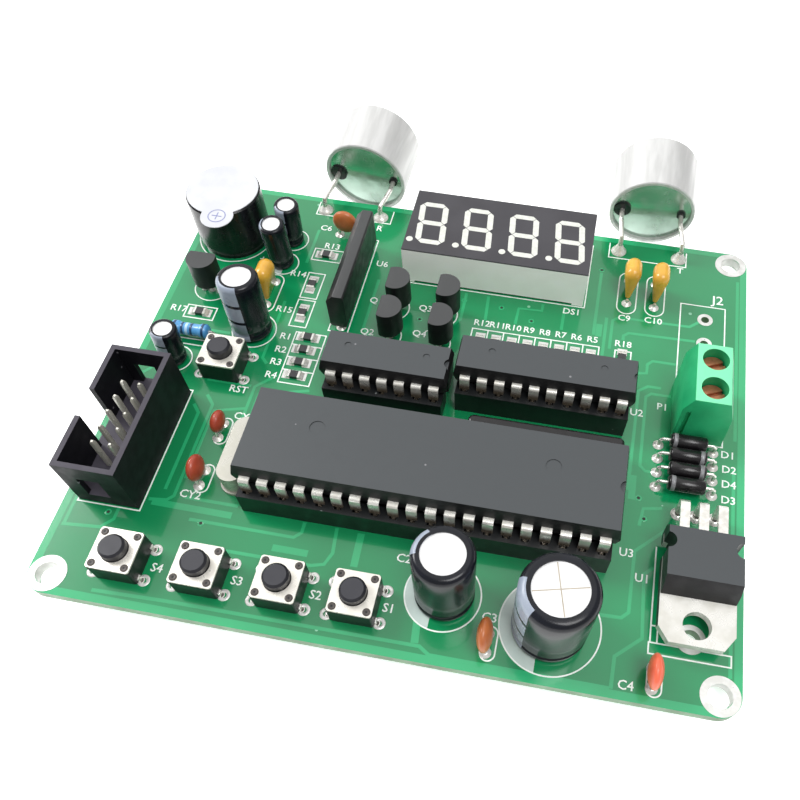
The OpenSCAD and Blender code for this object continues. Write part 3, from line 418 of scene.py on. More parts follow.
# top: upper faces painted lighter than the black sides, a painted highlight.
HEADER_BLACK = Finish("header_plastic", (0.008, 0.008, 0.011), (0.006, 0.006, 0.008), grain=0.35,
                      grain_scale=3500.0, top=(0.06, 0.055, 0.07), specks=0.08, speck_scale=700.0,
                      speck_colour=(0.18, 0.18, 0.2), specular=0.18)
SLEEVE = Finish("printed_sleeve", (0.007, 0.008, 0.013), (0.005, 0.006, 0.009), cloud=300.0, roughness=0.24,
                spread=0.03, coat=0.05, coat_roughness=0.12, grain=0.08, grain_scale=900.0, specular=0.3)
STRIPE = Finish("sleeve_stripe", (0.32, 0.36, 0.43), (0.26, 0.3, 0.37), cloud=400.0, roughness=0.3,
                coat=0.05, grain=0.08, grain_scale=900.0, specular=0.35)
CAN_TOP = Finish("bare_can", (0.8, 0.8, 0.79), (0.7, 0.7, 0.7), roughness=0.34, metallic=0.35, grain=0.3,
                 grain_scale=2500.0)
# Darker colour of the vent's cross: painted shade of its scored grooves, which are not cut.
SCORE = Finish("vent_line", (0.42, 0.36, 0.28), (0.34, 0.29, 0.22), cloud=900.0)
BRUSHED = Finish("brushed_can", (0.64, 0.64, 0.63), (0.54, 0.54, 0.53), cloud=900.0, roughness=0.42,
                 spread=0.08, metallic=0.36, grain=0.5, grain_scale=2200.0, stretch=(1.0, 0.06, 1.0))
# Green tint in the metal's colour: a painted reflection of the green board.
BASE_PLATE = Finish("can_base", (0.5, 0.62, 0.55), (0.42, 0.53, 0.46), cloud=400.0, roughness=0.2,
                    spread=0.08, metallic=0.9, grain=0.3, grain_scale=1300.0)
MESH = Finish("grille", (0.1, 0.1, 0.1), (0.07, 0.07, 0.07), roughness=0.4, metallic=0.5)
NICKEL = Finish("nickel_shell", (0.56, 0.55, 0.49), (0.46, 0.45, 0.39), cloud=450.0, roughness=0.3,
                spread=0.08, metallic=0.4, grain=0.2, grain_scale=1500.0)
PLATE = Finish("switch_plate", (0.84, 0.81, 0.74), (0.72, 0.69, 0.62), cloud=700.0, roughness=0.32,
               spread=0.08, metallic=0.45, grain=0.35, grain_scale=2500.0)
# top: button tops painted lighter than their sides, a painted highlight.
BUTTON = Finish("button_plastic", (0.012, 0.012, 0.016), (0.009, 0.009, 0.012), cloud=700.0, roughness=0.4,
                grain=0.3, grain_scale=3500.0, top=(0.035, 0.035, 0.042), specular=0.35)
RIVET = Finish("rivet_plastic", (0.06, 0.048, 0.042), (0.04, 0.032, 0.028), cloud=1500.0, roughness=0.45,
               grain=0.4)
# glow: the shell gives off a little light so its shaded front looks brighter, painted light.
HOUSING_WHITE = Finish("display_shell", (0.95, 0.95, 0.91), (0.9, 0.9, 0.86), cloud=300.0, roughness=0.45,
                       grain_scale=2500.0, specular=0.3, glow=0.07)
FACE_GREY = Finish("display_face", (0.05, 0.048, 0.055), (0.04, 0.038, 0.044), cloud=120.0, roughness=0.38,
                   grain=0.1, grain_scale=2500.0, specular=0.35)
SEGMENT = Finish("segment_resin", (0.66, 0.67, 0.62), (0.58, 0.59, 0.54), cloud=1500.0, roughness=0.45,
                 grain=0.2, grain_scale=2500.0)
SEAL = Finish("seal_paper", (0.62, 0.63, 0.65), (0.57, 0.58, 0.61), cloud=300.0, roughness=0.6,
              specular=0.2)
FAINT_PRINT = Finish("faint_print", (0.2, 0.22, 0.42), (0.26, 0.28, 0.45), cloud=900.0)
ENAMEL_WIRE = Finish("coil_wire", (0.7, 0.3, 0.12), (0.55, 0.22, 0.08), cloud=900.0, roughness=0.3,
                     metallic=0.6)
RUBBER = Finish("rubber_bung", (0.02, 0.02, 0.02), (0.014, 0.014, 0.014), roughness=0.75, grain=0.5)
ORANGE = Finish("orange_dip", (0.5, 0.15, 0.042), (0.41, 0.11, 0.03), roughness=0.38, coat=0.15, grain=0.5,
                grain_scale=1600.0)
CORAL = Finish("coral_dip", (0.9, 0.17, 0.085), (0.78, 0.125, 0.06), roughness=0.38, coat=0.15, grain=0.5,
               grain_scale=1600.0)
BRICK = Finish("brick_dip", (0.42, 0.065, 0.028), (0.34, 0.045, 0.02), roughness=0.38, coat=0.15, grain=0.5,
               grain_scale=1600.0)
YELLOW = Finish("yellow_dip", (0.76, 0.42, 0.045), (0.63, 0.33, 0.035), cloud=400.0, roughness=0.3,
                coat=0.3, grain=0.3, grain_scale=1100.0)
SKY_BLUE = Finish("resistor_lacquer", (0.1, 0.36, 0.68), (0.07, 0.28, 0.58), cloud=600.0, roughness=0.3,
                  coat=0.4, grain=0.2, grain_scale=1600.0)
BAND = Finish("resistor_band", (0.012, 0.06, 0.16), (0.01, 0.04, 0.1), roughness=0.3, coat=0.3)
PALE_BAND = Finish("pale_band", (0.45, 0.68, 0.86), (0.4, 0.6, 0.8), roughness=0.3, coat=0.3)
SILVER_BAND = Finish("silver_band", (0.24, 0.24, 0.25), (0.18, 0.18, 0.19), cloud=1500.0, roughness=0.4,
                     metallic=0.2)
DIODE = Finish("diode_epoxy", (0.01, 0.009, 0.01), (0.007, 0.006, 0.007), cloud=600.0, roughness=0.28,
               coat=0.1, grain=0.3, grain_scale=2500.0, specular=0.4)
RESIST = Finish("resistor_glaze", (0.02, 0.02, 0.022), (0.014, 0.014, 0.016), cloud=1500.0, roughness=0.3,
                coat=0.3)
# top: the terminal's upper faces are painted a much lighter green than its sides, a painted highlight.
MINT = Finish("terminal_plastic", (0.02, 0.4, 0.155), (0.015, 0.34, 0.13), cloud=300.0, roughness=0.45,
              grain=0.12, grain_scale=2500.0, specular=0.25, top=(0.2, 0.74, 0.4))
BRASS = Finish("screw_brass", (0.5, 0.2, 0.1), (0.36, 0.14, 0.07), cloud=1500.0, roughness=0.36,
               metallic=0.7, grain=0.5, grain_scale=3000.0)
STEEL = Finish("clamp_steel", (0.74, 0.73, 0.7), (0.62, 0.61, 0.58), roughness=0.3, metallic=0.8)
TAB = Finish("tinned_tab", (0.7, 0.69, 0.65), (0.58, 0.57, 0.52), roughness=0.34, spread=0.08,
             metallic=0.45, grain=0.5, grain_scale=1800.0, specks=0.14, speck_scale=1100.0,
             speck_colour=(0.36, 0.33, 0.29))
# Near-black disc colour: painted shade standing in for the inside of a via's hole.
HOLE = Finish("drilled_hole", (0.01, 0.03, 0.015), (0.006, 0.02, 0.01), roughness=0.6)
FLOOR = Finish("studio_floor", (0.93, 0.93, 0.93), (0.92, 0.92, 0.92), cloud=4.0, roughness=0.7, grain=0.0,
               glow=0.6)


# --- Mesh helpers ---


def node_mesh(node: str) -> bmesh.types.BMesh:
    """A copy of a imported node's mesh, with its loose triangles joined into clean faces.

    Args:
        node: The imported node.

    Returns:
        The copy.
    """
    bm = bmesh.new()
    bm.from_mesh(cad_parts[node].data)
    bmesh.ops.remove_doubles(bm, verts=bm.verts, dist=2e-6)
    bmesh.ops.dissolve_limit(
        bm, angle_limit=math.radians(0.5), use_dissolve_boundaries=False, verts=bm.verts, edges=bm.edges)
    return bm


def revolve(
    bm: bmesh.types.BMesh, profile: Sequence[Spot], place: Matrix, steps: int = 48, slot: int = 0
) -> list[bmesh.types.BMFace]:
    """Turns an outline round its own Z axis.

    Args:
        bm: The mesh to add to.
        profile: Radius and height pairs, in mm, from the lower pole or rim upwards.
        place: Where the axis stands, in metres.
        steps: Divisions of the turn.
        slot: Material slot of its faces.

    Returns:
        The faces made.
    """
    rings: list[list[bmesh.types.BMVert]] = []
    turns = [2 * math.pi * i / steps for i in range(steps)]
    for radius, height in profile:
        if radius < 1e-6:
            rings.append([bm.verts.new(place @ Vector((0, 0, height * MM)))])
            continue
        rings.append([
            bm.verts.new(place @ Vector((
                radius * MM * math.cos(turn), radius * MM * math.sin(turn), height * MM)))
            for turn in turns])
    faces = []
    for low, high in zip(rings, rings[1:]):
        for i in range(steps):
            j = (i + 1) % steps
            ring = [low[i % len(low)], low[j % len(low)], high[j % len(high)], high[i % len(high)]]
            corners = list(dict.fromkeys(ring))
            if len(corners) > 2:
                face = bm.faces.new(corners)
                face.material_index = slot
                faces.append(face)
    return faces


def slab(bm: bmesh.types.BMesh, outline: Sequence[Spot], low: float, high: float) -> None:
    """Adds a flat plate over the board.

    Args:
        bm: The mesh to add to.
        outline: Its corners, counter-clockwise, in board mm.
        low: Height of its underside above the board, in mm.
        high: Height of its top, in mm.
    """
    top = [bm.verts.new(spot(x, y, high)) for x, y in outline]
    bottom = [bm.verts.new(spot(x, y, low)) for x, y in outline]
    bm.faces.new(top)
    bm.faces.new(bottom[::-1])
    for i in range(len(outline)):
        j = (i + 1) % len(outline)
        bm.faces.new([bottom[i], bottom[j], top[j], top[i]])


def arc(centre: Spot, radius: float, start: float, end: float, steps: int = 24) -> list[Spot]:
    """Points of an arc.

    Args:
        centre: Its centre, in board mm.
        radius: Its radius, in mm.
        start: First angle, in degrees.
        end: Last angle, in degrees.
        steps: How many stretches it has.

    Returns:
        The points from start to end.
    """
    return [
        (centre[0] + radius * math.cos(math.radians(start + (end - start) * i / steps)),
         centre[1] + radius * math.sin(math.radians(start + (end - start) * i / steps)))
        for i in range(steps + 1)]


def plain_mesh(carrier: bpy.types.Object) -> bpy.types.Mesh:
    """An object's evaluated shape as a plain mesh.

    Args:
        carrier: The object.

    Returns:
        A new mesh.
    """
    graph = bpy.context.evaluated_depsgraph_get()
    graph.update()
    return bpy.data.meshes.new_from_object(carrier.evaluated_get(graph))


# --- Repeated shapes by geometry nodes ---


def evaluate(mesh: bpy.types.Mesh, tree: bpy.types.NodeTree, values: dict[str, object]) -> bpy.types.Mesh:
    """Runs geometry nodes on a mesh.

    Args:
        mesh: The mesh that the tree starts from. It is removed.
        tree: The geometry nodes.
        values: The modifier's inputs, by socket identifier.

    Returns:
        The result as a plain mesh.
    """
    carrier = bpy.data.objects.new(mesh.name, mesh)
    bpy.context.scene.collection.objects.link(carrier)
    modifier = carrier.modifiers.new("shape", "NODES")
    modifier.node_group = tree
    for identifier, value in values.items():
        modifier[identifier] = value
    made = plain_mesh(carrier)
    carrier.modifiers.clear()
    bpy.data.objects.remove(carrier)
    bpy.data.meshes.remove(mesh)
    return made


def shape_tree(name: str, inputs: dict[str, str]) -> tuple[bpy.types.NodeTree, dict[str, str]]:
    """Starts a geometry nodes tree from a mesh to a mesh.

    Args:
        name: The tree's name.
        inputs: Each further input's socket type, by its label.

    Returns:
        The tree, and each input's identifier by its label.
    """
    tree = bpy.data.node_groups.new(name, "GeometryNodeTree")
    face = tree.interface
    face.new_socket(name="Geometry", in_out="INPUT", socket_type="NodeSocketGeometry")
    keys = {
        label: face.new_socket(name=label, in_out="INPUT", socket_type=f"NodeSocket{kind}").identifier
        for label, kind in inputs.items()}
    face.new_socket(name="Geometry", in_out="OUTPUT", socket_type="NodeSocketGeometry")
    return tree, keys


class StrokeTree:
    """Geometry nodes that turn a mesh of lines into flat ribbons lying on the board."""

    stagger: float = 0.0008
    layers: int = 12

    def __init__(self) -> None:
        """Builds the tree."""
        tree, self.keys = shape_tree(
            "flat_strokes", {"Line width": "Float", "Ink height": "Float", "Ink": "Material"})
        given, out = add(tree, "NodeGroupInput"), add(tree, "NodeGroupOutput")
        lines = add(tree, "GeometryNodeMeshToCurve")
        flat = add(tree, "GeometryNodeSetCurveNormal", mode="Z_UP")
        section = add(tree, "GeometryNodeCurvePrimitiveQuadrilateral")
        ribbon = add(tree, "GeometryNodeCurveToMesh", {"Fill Caps": True})
        real = add(tree, "GeometryNodeRealizeInstances")
        paint = add(tree, "GeometryNodeSetMaterial")
        connect(
            tree, (given, "Geometry", lines, "Mesh"), (lines, "Curve", flat, "Curve"),
            (given, "Ink height", section, "Height"), (given, "Line width", section, "Width"),
            (flat, "Curve", ribbon, "Curve"), (section, "Curve", ribbon, "Profile Curve"),
            (ribbon, "Mesh", real, "Geometry"), (real, "Geometry", paint, "Geometry"),
            (given, "Ink", paint, "Material"), (paint, "Geometry", out, "Geometry"))
        self.tree = tree

    def run(
        self, paths: Iterable[Sequence[Spot]], z: float, width: float, height: float, ink: bpy.types.Material
    ) -> bpy.types.Mesh:
        """Makes the ribbons of a set of paths, staggered a hair in height so that no two tops meet.

        Args:
            paths: Lines of points, in board mm.
            z: Height of the lowest ribbons' middle above the board, in mm.
            width: Ribbon width, in mm.
            height: Ribbon thickness, in mm.
            ink: Its material.

        Returns:
            The ribbons as one mesh.
        """
        lines = bpy.data.meshes.new("stroke_lines")
        points: list[Vector] = []
        edges: list[tuple[int, int]] = []
        for order, path in enumerate(paths):
            first = len(points)
            points += [spot(x, y, z + order % self.layers * self.stagger) for x, y in path]
            edges += [(first + i, first + i + 1) for i in range(len(path) - 1)]
        lines.from_pydata(points, edges, [])
        return evaluate(lines, self.tree, {
            self.keys["Line width"]: width * MM, self.keys["Ink height"]: height * MM, self.keys["Ink"]: ink})


class RingTree:
    """Geometry nodes that stand a rounded ring on each point."""

    def __init__(self) -> None:
        """Builds the tree."""
        tree, self.keys = shape_tree(
            "rings_on_points",
            {"Radius": "Float", "Section radius": "Float", "Flatness": "Float", "Metal": "Material"})
        given, out = add(tree, "NodeGroupInput"), add(tree, "NodeGroupOutput")
        ring = add(tree, "GeometryNodeCurvePrimitiveCircle", {"Resolution": 20})
        section = add(tree, "GeometryNodeCurvePrimitiveCircle", {"Resolution": 8})
        tube = add(tree, "GeometryNodeCurveToMesh")
        squash = add(tree, "ShaderNodeCombineXYZ", {"X": 1.0, "Y": 1.0})
        press = add(tree, "GeometryNodeTransform")
        stand = add(tree, "GeometryNodeInstanceOnPoints")
        real = add(tree, "GeometryNodeRealizeInstances")
        paint = add(tree, "GeometryNodeSetMaterial")
        connect(
            tree, (given, "Radius", ring, "Radius"), (given, "Section radius", section, "Radius"),
            (ring, "Curve", tube, "Curve"), (section, "Curve", tube, "Profile Curve"),
            (given, "Flatness", squash, "Z"), (tube, "Mesh", press, "Geometry"),
            (squash, "Vector", press, "Scale"), (given, "Geometry", stand, "Points"),
            (press, "Geometry", stand, "Instance"), (stand, "Instances", real, "Geometry"),
            (real, "Geometry", paint, "Geometry"), (given, "Metal", paint, "Material"),
            (paint, "Geometry", out, "Geometry"))
        self.tree = tree

    def run(
        self, points: Iterable[Spot], z: float, radius: float, section: float, flatness: float,
        metal: bpy.types.Material
    ) -> bpy.types.Mesh:
        """Makes a ring at each point.

        Args:
            points: The centres, in board mm.
            z: Height of the rings' middle above the board, in mm.
            radius: Radius to the middle of the ring's section, in mm.
            section: Radius of the section, in mm.
            flatness: Height of the section as a share of its width.
            metal: Its material.

        Returns:
            The rings as one mesh.
        """
        dots = bpy.data.meshes.new("ring_points")
        dots.from_pydata([spot(x, y, z) for x, y in points], [], [])
        return evaluate(dots, self.tree, {
            self.keys["Radius"]: radius * MM, self.keys["Section radius"]: section * MM,
            self.keys["Flatness"]: flatness, self.keys["Metal"]: metal})


# --- What the sub-assemblies share ---


@dataclass
class Assembly:
    """A sub-assembly, with what it is built and dressed with."""

    box: Paintbox
    strokes: StrokeTree
    rings: RingTree

    def make(self) -> None:
        """Builds and dresses the pieces."""
        raise NotImplementedError

    def piece(
        self, name: str, bm: bmesh.types.BMesh, finishes: Sequence[Finish], body: Carrier = Carrier.BOARD,
        angle: float = CRISP, node: str | None = None
    ) -> None:
        """Turns a built mesh into a piece that rides on a body.

        Args:
            name: The piece's name.
            bm: The mesh, in the object's frame. It is freed.
            finishes: The piece's finishes, in slot order.
            body: The body that carries it.
            angle: Edges sharper than this stay crisp, in degrees.
            node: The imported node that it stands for, if any.
        """
        bm.normal_update()
        for face in bm.faces:
            face.smooth = True
        for edge in bm.edges:
            edge.smooth = len(edge.link_faces) == 2 and edge.calc_face_angle(0.0) < math.radians(angle)
        mesh = bpy.data.meshes.new(name)
        bm.to_mesh(mesh)
        bm.free()
        for finish in finishes:
            mesh.materials.append(self.box.material(finish))
        made = bpy.data.objects.new(name, mesh)
        bpy.context.scene.collection.objects.link(made)
        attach(made, body.value)
        if node is not None:
            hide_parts(node)
        LOG.info("%s rides on %s", name, body.value)

    def refine(
        self, node: str, finish: Finish, body: Carrier = Carrier.BOARD, bevel: float = 0.0,
        angle: float = CRISP
    ) -> None:
        """Replaces a node by a smooth-shaded copy, with its long crisp edges eased.

        Args:
            node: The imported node.
            finish: Its finish.
            body: The body that carries it.
            bevel: Width of the eased edges, in mm, or 0 for none.
            angle: Edges sharper than this stay crisp, in degrees.
        """
        bm = node_mesh(node)
        if bevel > 0.0:
            long_edges = [
                edge for edge in bm.edges
                if edge.calc_length() > 6 * bevel * MM and len(edge.link_faces) == 2
                and edge.calc_face_angle_signed(0.0) > math.radians(30)]
            bmesh.ops.bevel(
                bm, geom=long_edges, offset=bevel * MM, segments=2, profile=0.5, affect="EDGES",
                clamp_overlap=True)
        self.piece(f"{node}_finished", bm, [finish], body, angle, node)

    def dress(self, node: str, finish: Finish) -> None:
        """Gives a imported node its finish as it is.

        Args:
            node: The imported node.
            finish: Its finish.
        """
        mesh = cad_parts[node].data
        mesh.materials.clear()
        mesh.materials.append(self.box.material(finish))
        LOG.info("%s dressed", node)

    def join(self, name: str, meshes: Sequence[bpy.types.Mesh], finish: Finish) -> None:
        """Joins meshes of one finish into a piece of the board.

        Args:
            name: The piece's name.
            meshes: The meshes. They are removed.
            finish: Their finish.
        """
        bm = bmesh.new()
        for mesh in meshes:
            bm.from_mesh(mesh)
            bpy.data.meshes.remove(mesh)
        self.piece(name, bm, [finish])


# --- The board ---


@dataclass
class Legend:
    """One printed designator."""

    words: str
    x: float
    y: float
    size: float = 1.55


@dataclass
class Board(Assembly):
    """The green board: its mask, its tracks, its printing and its lands."""

    line: float = 0.2
    ink_height: float = 0.02
    boldness: float = 0.02
    letter_scale: float = 1.12
    track: float = 0.5
    wide_track: float = 1.0
    under_track: float = 0.7
    track_z: float = 0.004
    track_height: float = 0.012
    wide_z: float = 0.0025
    wide_height: float = 0.01
    band_height: float = 0.007
    edge_band: float = 1.1
    corner_r: float = 3.0
    mount_inset: float = 2.75
    mount_r: float = 1.8
    via_r: float = 0.34
    via_section: float = 0.13
    via_flatness: float = 0.12
    via_hole_r: float = 0.24
    via_hole_height: float = 0.016
    legends: tuple[Legend, ...] = (
        Legend("C3", 61.8, 7.5), Legend("C4", 80.0, 1.9), Legend("U3", 78.6, 20.1),
        Legend("U1", 81.0, 16.7), Legend("D3", 92.2, 30.9), Legend("D4", 92.2, 33.5),
        Legend("D2", 92.2, 36.0), Legend("D1", 92.0, 38.5), Legend("S4", 16.8, 6.1),
        Legend("S3", 27.9, 6.3), Legend("S2", 38.7, 6.3), Legend("S1", 48.6, 6.3),
        Legend("CY2", 17.2, 17.6), Legend("CY1", 20.4, 31.7), Legend("C2", 49.0, 13.6),
        Legend("P1", 82.0, 45.4), Legend("T", 83.3, 74.3), Legend("R", 30.8, 74.3),
        Legend("J2", 89.8, 68.7, 2.3), Legend("RST", 17.9, 36.4), Legend("R4", 21.9, 40.0),
        Legend("R3", 21.9, 42.6), Legend("R2", 21.9, 45.1), Legend("R1", 21.9, 47.8),
        Legend("R14", 20.0, 61.2), Legend("R15", 20.0, 53.2), Legend("R13", 23.9, 68.5),
        Legend("U6", 33.3, 66.1), Legend("C6", 21.7, 72.6), Legend("R17", 3.1, 50.2),
        Legend("U2", 78.2, 43.6), Legend("DS1", 66.2, 61.7), Legend("C9", 74.8, 62.0),
        Legend("C10", 79.5, 62.3), Legend("Q1", 34.3, 57.9), Legend("Q2", 34.4, 51.2),
        Legend("Q3", 42.6, 57.8), Legend("Q4", 42.7, 52.4), Legend("R18", 75.1, 56.5),
        *[Legend(f"R{12 - i}", 52.2 + i * 2.57, 56.5, 1.5) for i in range(8)])
    vias: tuple[Spot, ...] = (
        (42.1, 55.4), (54.8, 60.4), (60.0, 58.5), (70.2, 72.0), (7.0, 12.9), (79.6, 29.0), (48.5, 60.8),
        (36.2, 48.2), (44.8, 60.5), (80.6, 25.8), (20.2, 13.6))

    def make(self) -> None:
        """Builds the board's pieces."""
        self._plate()
        self._tracks()
        self._printing()
        self._lands()

    def _plate(self) -> None:
        """The plate itself, with a paler edge where no copper lies under the mask."""
        bm = node_mesh("circuit_board")
        near, right, back = self.mount_inset, BOARD_W - self.mount_inset, BOARD_D - self.mount_inset
        mounts = [spot(x, y).xy for x in (near, right) for y in (near, back)]
        for face in bm.faces:
            centre = face.calc_center_median().xy
            plated = min((centre - mount).length for mount in mounts) < self.mount_r * MM
            face.material_index = 0 if abs(face.normal.z) > 0.5 else 2 if plated else 1
        self.piece("board_finished", bm, (MASK, BARE_EDGE, LAND), angle=30.0, node="circuit_board")
        rim = bmesh.new()
        for low, high in ((0.0, self.band_height), (-BOARD_T - self.band_height, -BOARD_T)):
            self._band(rim, low, high)
        self.piece("edge_band", rim, [TRACK])

    def _outline(self, inset: float) -> list[Spot]:
        """The board's rounded outline, drawn in all round.

        Args:
            inset: How far it is drawn in, in mm.

        Returns:
            Its points, counter-clockwise.
        """
        r = self.corner_r
        right, back = BOARD_W - r, BOARD_D - r
        corners = (((right, back), 0), ((r, back), 90), ((r, r), 180), ((right, r), 270))
        return [point for centre, turn in corners for point in arc(centre, r - inset, turn, turn + 90, 8)]

    def _band(self, bm: bmesh.types.BMesh, low: float, high: float) -> None:
        """Adds a closed flat band along the board's outline.

        Args:
            bm: The mesh to add to.
            low: Height of its underside above the board, in mm.
            high: Height of its top, in mm.
        """
        outer, inner = self._outline(0.0), self._outline(self.edge_band)
        rows = [[bm.verts.new(spot(x, y, z)) for x, y in line]
                for line, z in ((outer, low), (outer, high), (inner, high), (inner, low))]
        for row, after in zip(rows, rows[1:] + rows[:1]):
            for i in range(len(outer)):
                j = (i + 1) % len(outer)
                bm.faces.new([row[i], row[j], after[j], after[i]])

    def _tracks(self) -> None:
        """Paler lines where tracks and gaps in the copper run under the mask."""
        thin = [
            [(1.4, 10.0), (6.8, 10.5), (8.2, 12.0), (8.2, 13.9)], [(1.7, 10.1), (1.7, 36.0), (3.4, 38.0)],
            [(11.7, 15.9), (14.2, 16.2), (15.0, 17.0), (15.0, 33.0), (13.6, 34.6)],
            [(13.4, 17.8), (13.4, 31.2), (12.2, 32.6)], [(16.6, 17.1), (24.4, 17.1)],
            [(9.5, 1.6), (19.6, 1.9), (53.6, 2.1), (55.0, 1.2), (78.0, 1.2)],
            [(18.4, 13.9), (33.4, 13.9), (34.3, 14.8), (34.3, 16.4)],
            [(38.9, 16.4), (39.3, 12.6), (38.6, 10.8), (36.9, 10.3), (19.0, 10.2)],
            [(83.6, 24.4), (79.7, 20.6), (79.6, 11.6), (78.7, 10.7), (75.9, 10.6)],
            [(82.4, 18.6), (81.2, 17.4), (81.6, 8.4), (78.3, 5.4), (78.2, 1.2)],
            [(83.2, 47.6), (80.2, 47.6), (79.4, 46.9), (79.4, 34.4), (80.2, 33.6), (81.0, 33.6)],
            [(81.6, 48.9), (79.6, 48.9), (78.2, 47.8), (78.0, 30.0)],
            [(83.6, 54.0), (80.0, 54.0), (79.2, 53.2), (79.2, 51.4), (77.8, 51.2)],
            [(87.0, 63.6), (85.4, 62.2), (74.0, 62.0), (73.0, 61.2), (73.0, 55.2)],
            [(86.4, 59.3), (75.8, 59.0), (75.0, 58.3), (75.0, 57.4)],
            [(70.2, 71.4), (70.2, 63.0), (70.2, 57.6)], [(72.0, 61.6), (72.0, 52.4)],
            [(52.3, 62.4), (52.6, 57.2)], [(61.4, 62.4), (61.4, 61.0), (57.6, 60.8), (57.5, 57.4)],
            [(65.0, 62.4), (65.0, 57.6)], [(48.6, 62.4), (48.6, 56.6), (47.6, 55.4)],
            [(33.6, 62.6), (33.6, 52.0), (35.0, 50.4)], [(35.6, 62.0), (35.6, 53.2)],
            [(20.2, 31.0), (20.2, 37.4), (22.4, 39.6)], [(21.2, 27.0), (21.2, 36.2), (28.6, 38.2)],
            [(12.6, 37.4), (19.6, 37.4)], [(15.6, 20.0), (15.6, 32.0), (20.0, 33.2)],
            [(19.6, 55.0), (19.6, 43.0), (20.6, 42.0)], [(3.0, 46.8), (13.0, 46.8)],
            [(20.6, 64.0), (20.6, 72.0)], [(83.0, 27.9), (80.4, 27.4), (80.0, 24.6)],
            [(92.9, 5.2), (92.9, 36.6)], [(93.0, 41.2), (93.0, 73.6)]]
        wide = [
            [(42.4, 16.2), (42.6, 11.2)], [(31.0, 11.9), (36.0, 11.9)], [(52.9, 2.4), (52.5, 6.6)],
            [(78.6, 32.6), (78.6, 28.6)], [(71.0, 60.0), (71.0, 57.4)], [(12.3, 15.6), (24.0, 15.5)]]
        under = [
            [(x, 18.6), (x, 23.0 + 2.2 * (i % 5)), (x + 3.0, 26.0 + 2.2 * (i % 5)), (x + 3.0, 32.0)]
            for i, x in enumerate([26.53 + PITCH * k for k in range(0, 19, 2)])]
        under += [[(12.4 + 11 * i, 4.0), (12.4 + 11 * i, 11.0), (24.0 + 5.1 * i, 17.0)] for i in range(4)]
        under += [[(39.0 + 5.4 * i, 60.0), (39.0 + 5.4 * i, 65.0)] for i in range(6)]
        under += [[(20.4, 77.0), (29.0, 68.0), (29.0, 52.0)], [(72.6, 77.0), (66.0, 72.0), (40.0, 72.0)],
                  [(87.0, 27.4), (82.0, 31.2), (82.0, 38.4)], [(6.6, 20.0), (14.0, 20.0), (22.0, 26.0)]]
        ink = self.box.material(TRACK)
        tops = self.strokes.run(thin, self.track_z, self.track, self.track_height, ink)
        bars = self.strokes.run(wide, self.wide_z, self.wide_track, self.wide_height, ink)
        beneath = self.strokes.run(under, -BOARD_T - self.track_z, self.under_track, self.track_height, ink)
        self.join("track_lines", [tops, bars, beneath], TRACK)

    def _box(self, x0: float, y0: float, x1: float, y1: float, sides: str = "flrb") -> list[list[Spot]]:
        """Lines along a rectangle's sides, each reaching over its corners.

        Args:
            x0: Its left side, in board mm.
            y0: Its front side, in board mm.
            x1: Its right side, in board mm.
            y1: Its back side, in board mm.
            sides: The sides to draw, of front, left, right and back.

        Returns:
            The lines.
        """
        h = self.line / 2
        lines = {"f": [(x0 - h, y0), (x1 + h, y0)], "b": [(x0 - h, y1), (x1 + h, y1)],
                 "l": [(x0, y0 - h), (x0, y1 + h)], "r": [(x1, y0 - h), (x1, y1 + h)]}
        return [lines[s] for s in sides]

    @staticmethod
    def _capsule(x: float, y: float, width: float, length: float) -> list[Spot]:
        """A closed long outline along Y, with round ends.

        Args:
            x: Its middle, in board mm.
            y: Its middle, in board mm.
            width: Its width, in mm.
            length: Its length, in mm.

        Returns:
            Its points, back at the first.
        """
        r, reach = width / 2, length / 2 - width / 2
        back, front = arc((x, y + reach), r, 0, 180, 16), arc((x, y - reach), r, 180, 360, 16)
        return [*back, *front, (x + r, y + reach)]

    def _printing(self) -> None:
        """Outlines, filled crescents and designators in white ink."""
        lines = self._box(2.05, 13.85, 11.2, 34.9) + self._box(83.2, 39.75, 91.15, 50.5, "fr")
        lines += self._box(83.8, 51.3, 91.05, 67.05) + self._box(37.4, 62.95, 68.15, 77.4)
        lines += self._box(71.0, 75.3, 84.2, 78.6, "flr") + self._box(19.0, 75.75, 32.4, 78.8, "flr")
        lines += self._box(28.2, 50.3, 31.35, 71.4) + self._box(82.45, 6.6, 93.0, 8.1)
        lines += [[(82.6, 8.1), (82.6, 21.8)], [(83.5, 8.1), (83.5, 10.4)], [(82.6, 10.4), (83.5, 10.4)],
                  [(3.0, 44.5), (12.6, 44.5)], [(5.3, 43.4), (9.9, 43.4)]]
        for i in range(8):
            left, right = 50.9 + i * 2.56, 50.9 + (i + 1) * 2.56
            lines += self._box(left, 50.0, right, 55.2, "flb" if i < 7 else "flrb")
        for i in range(4):
            front, back = 38.95 + i * 2.53, 38.95 + (i + 1) * 2.53
            lines += self._box(23.3, front, 28.25, back, "flr" if i < 3 else "flrb")
        lines += self._box(73.95, 51.3, 76.5, 55.1) + self._box(21.7, 56.3, 24.5, 61.9)
        lines += self._box(21.7, 50.1, 24.5, 55.8) + self._box(21.2, 64.9, 26.2, 67.6)
        lines += self._box(4.4, 48.7, 9.3, 51.3)
        lines += [self._capsule(74.9, 67.6, 3.1, 9.2), self._capsule(79.5, 67.8, 3.1, 8.9),
                  self._capsule(16.7, 56.2, 2.9, 8.3), self._capsule(18.2, 28.7, 1.9, 4.6),
                  self._capsule(18.3, 20.5, 1.9, 4.6), self._capsule(62.3, 4.1, 1.9, 4.6),
                  self._capsule(83.5, 3.4, 1.9, 4.6)]
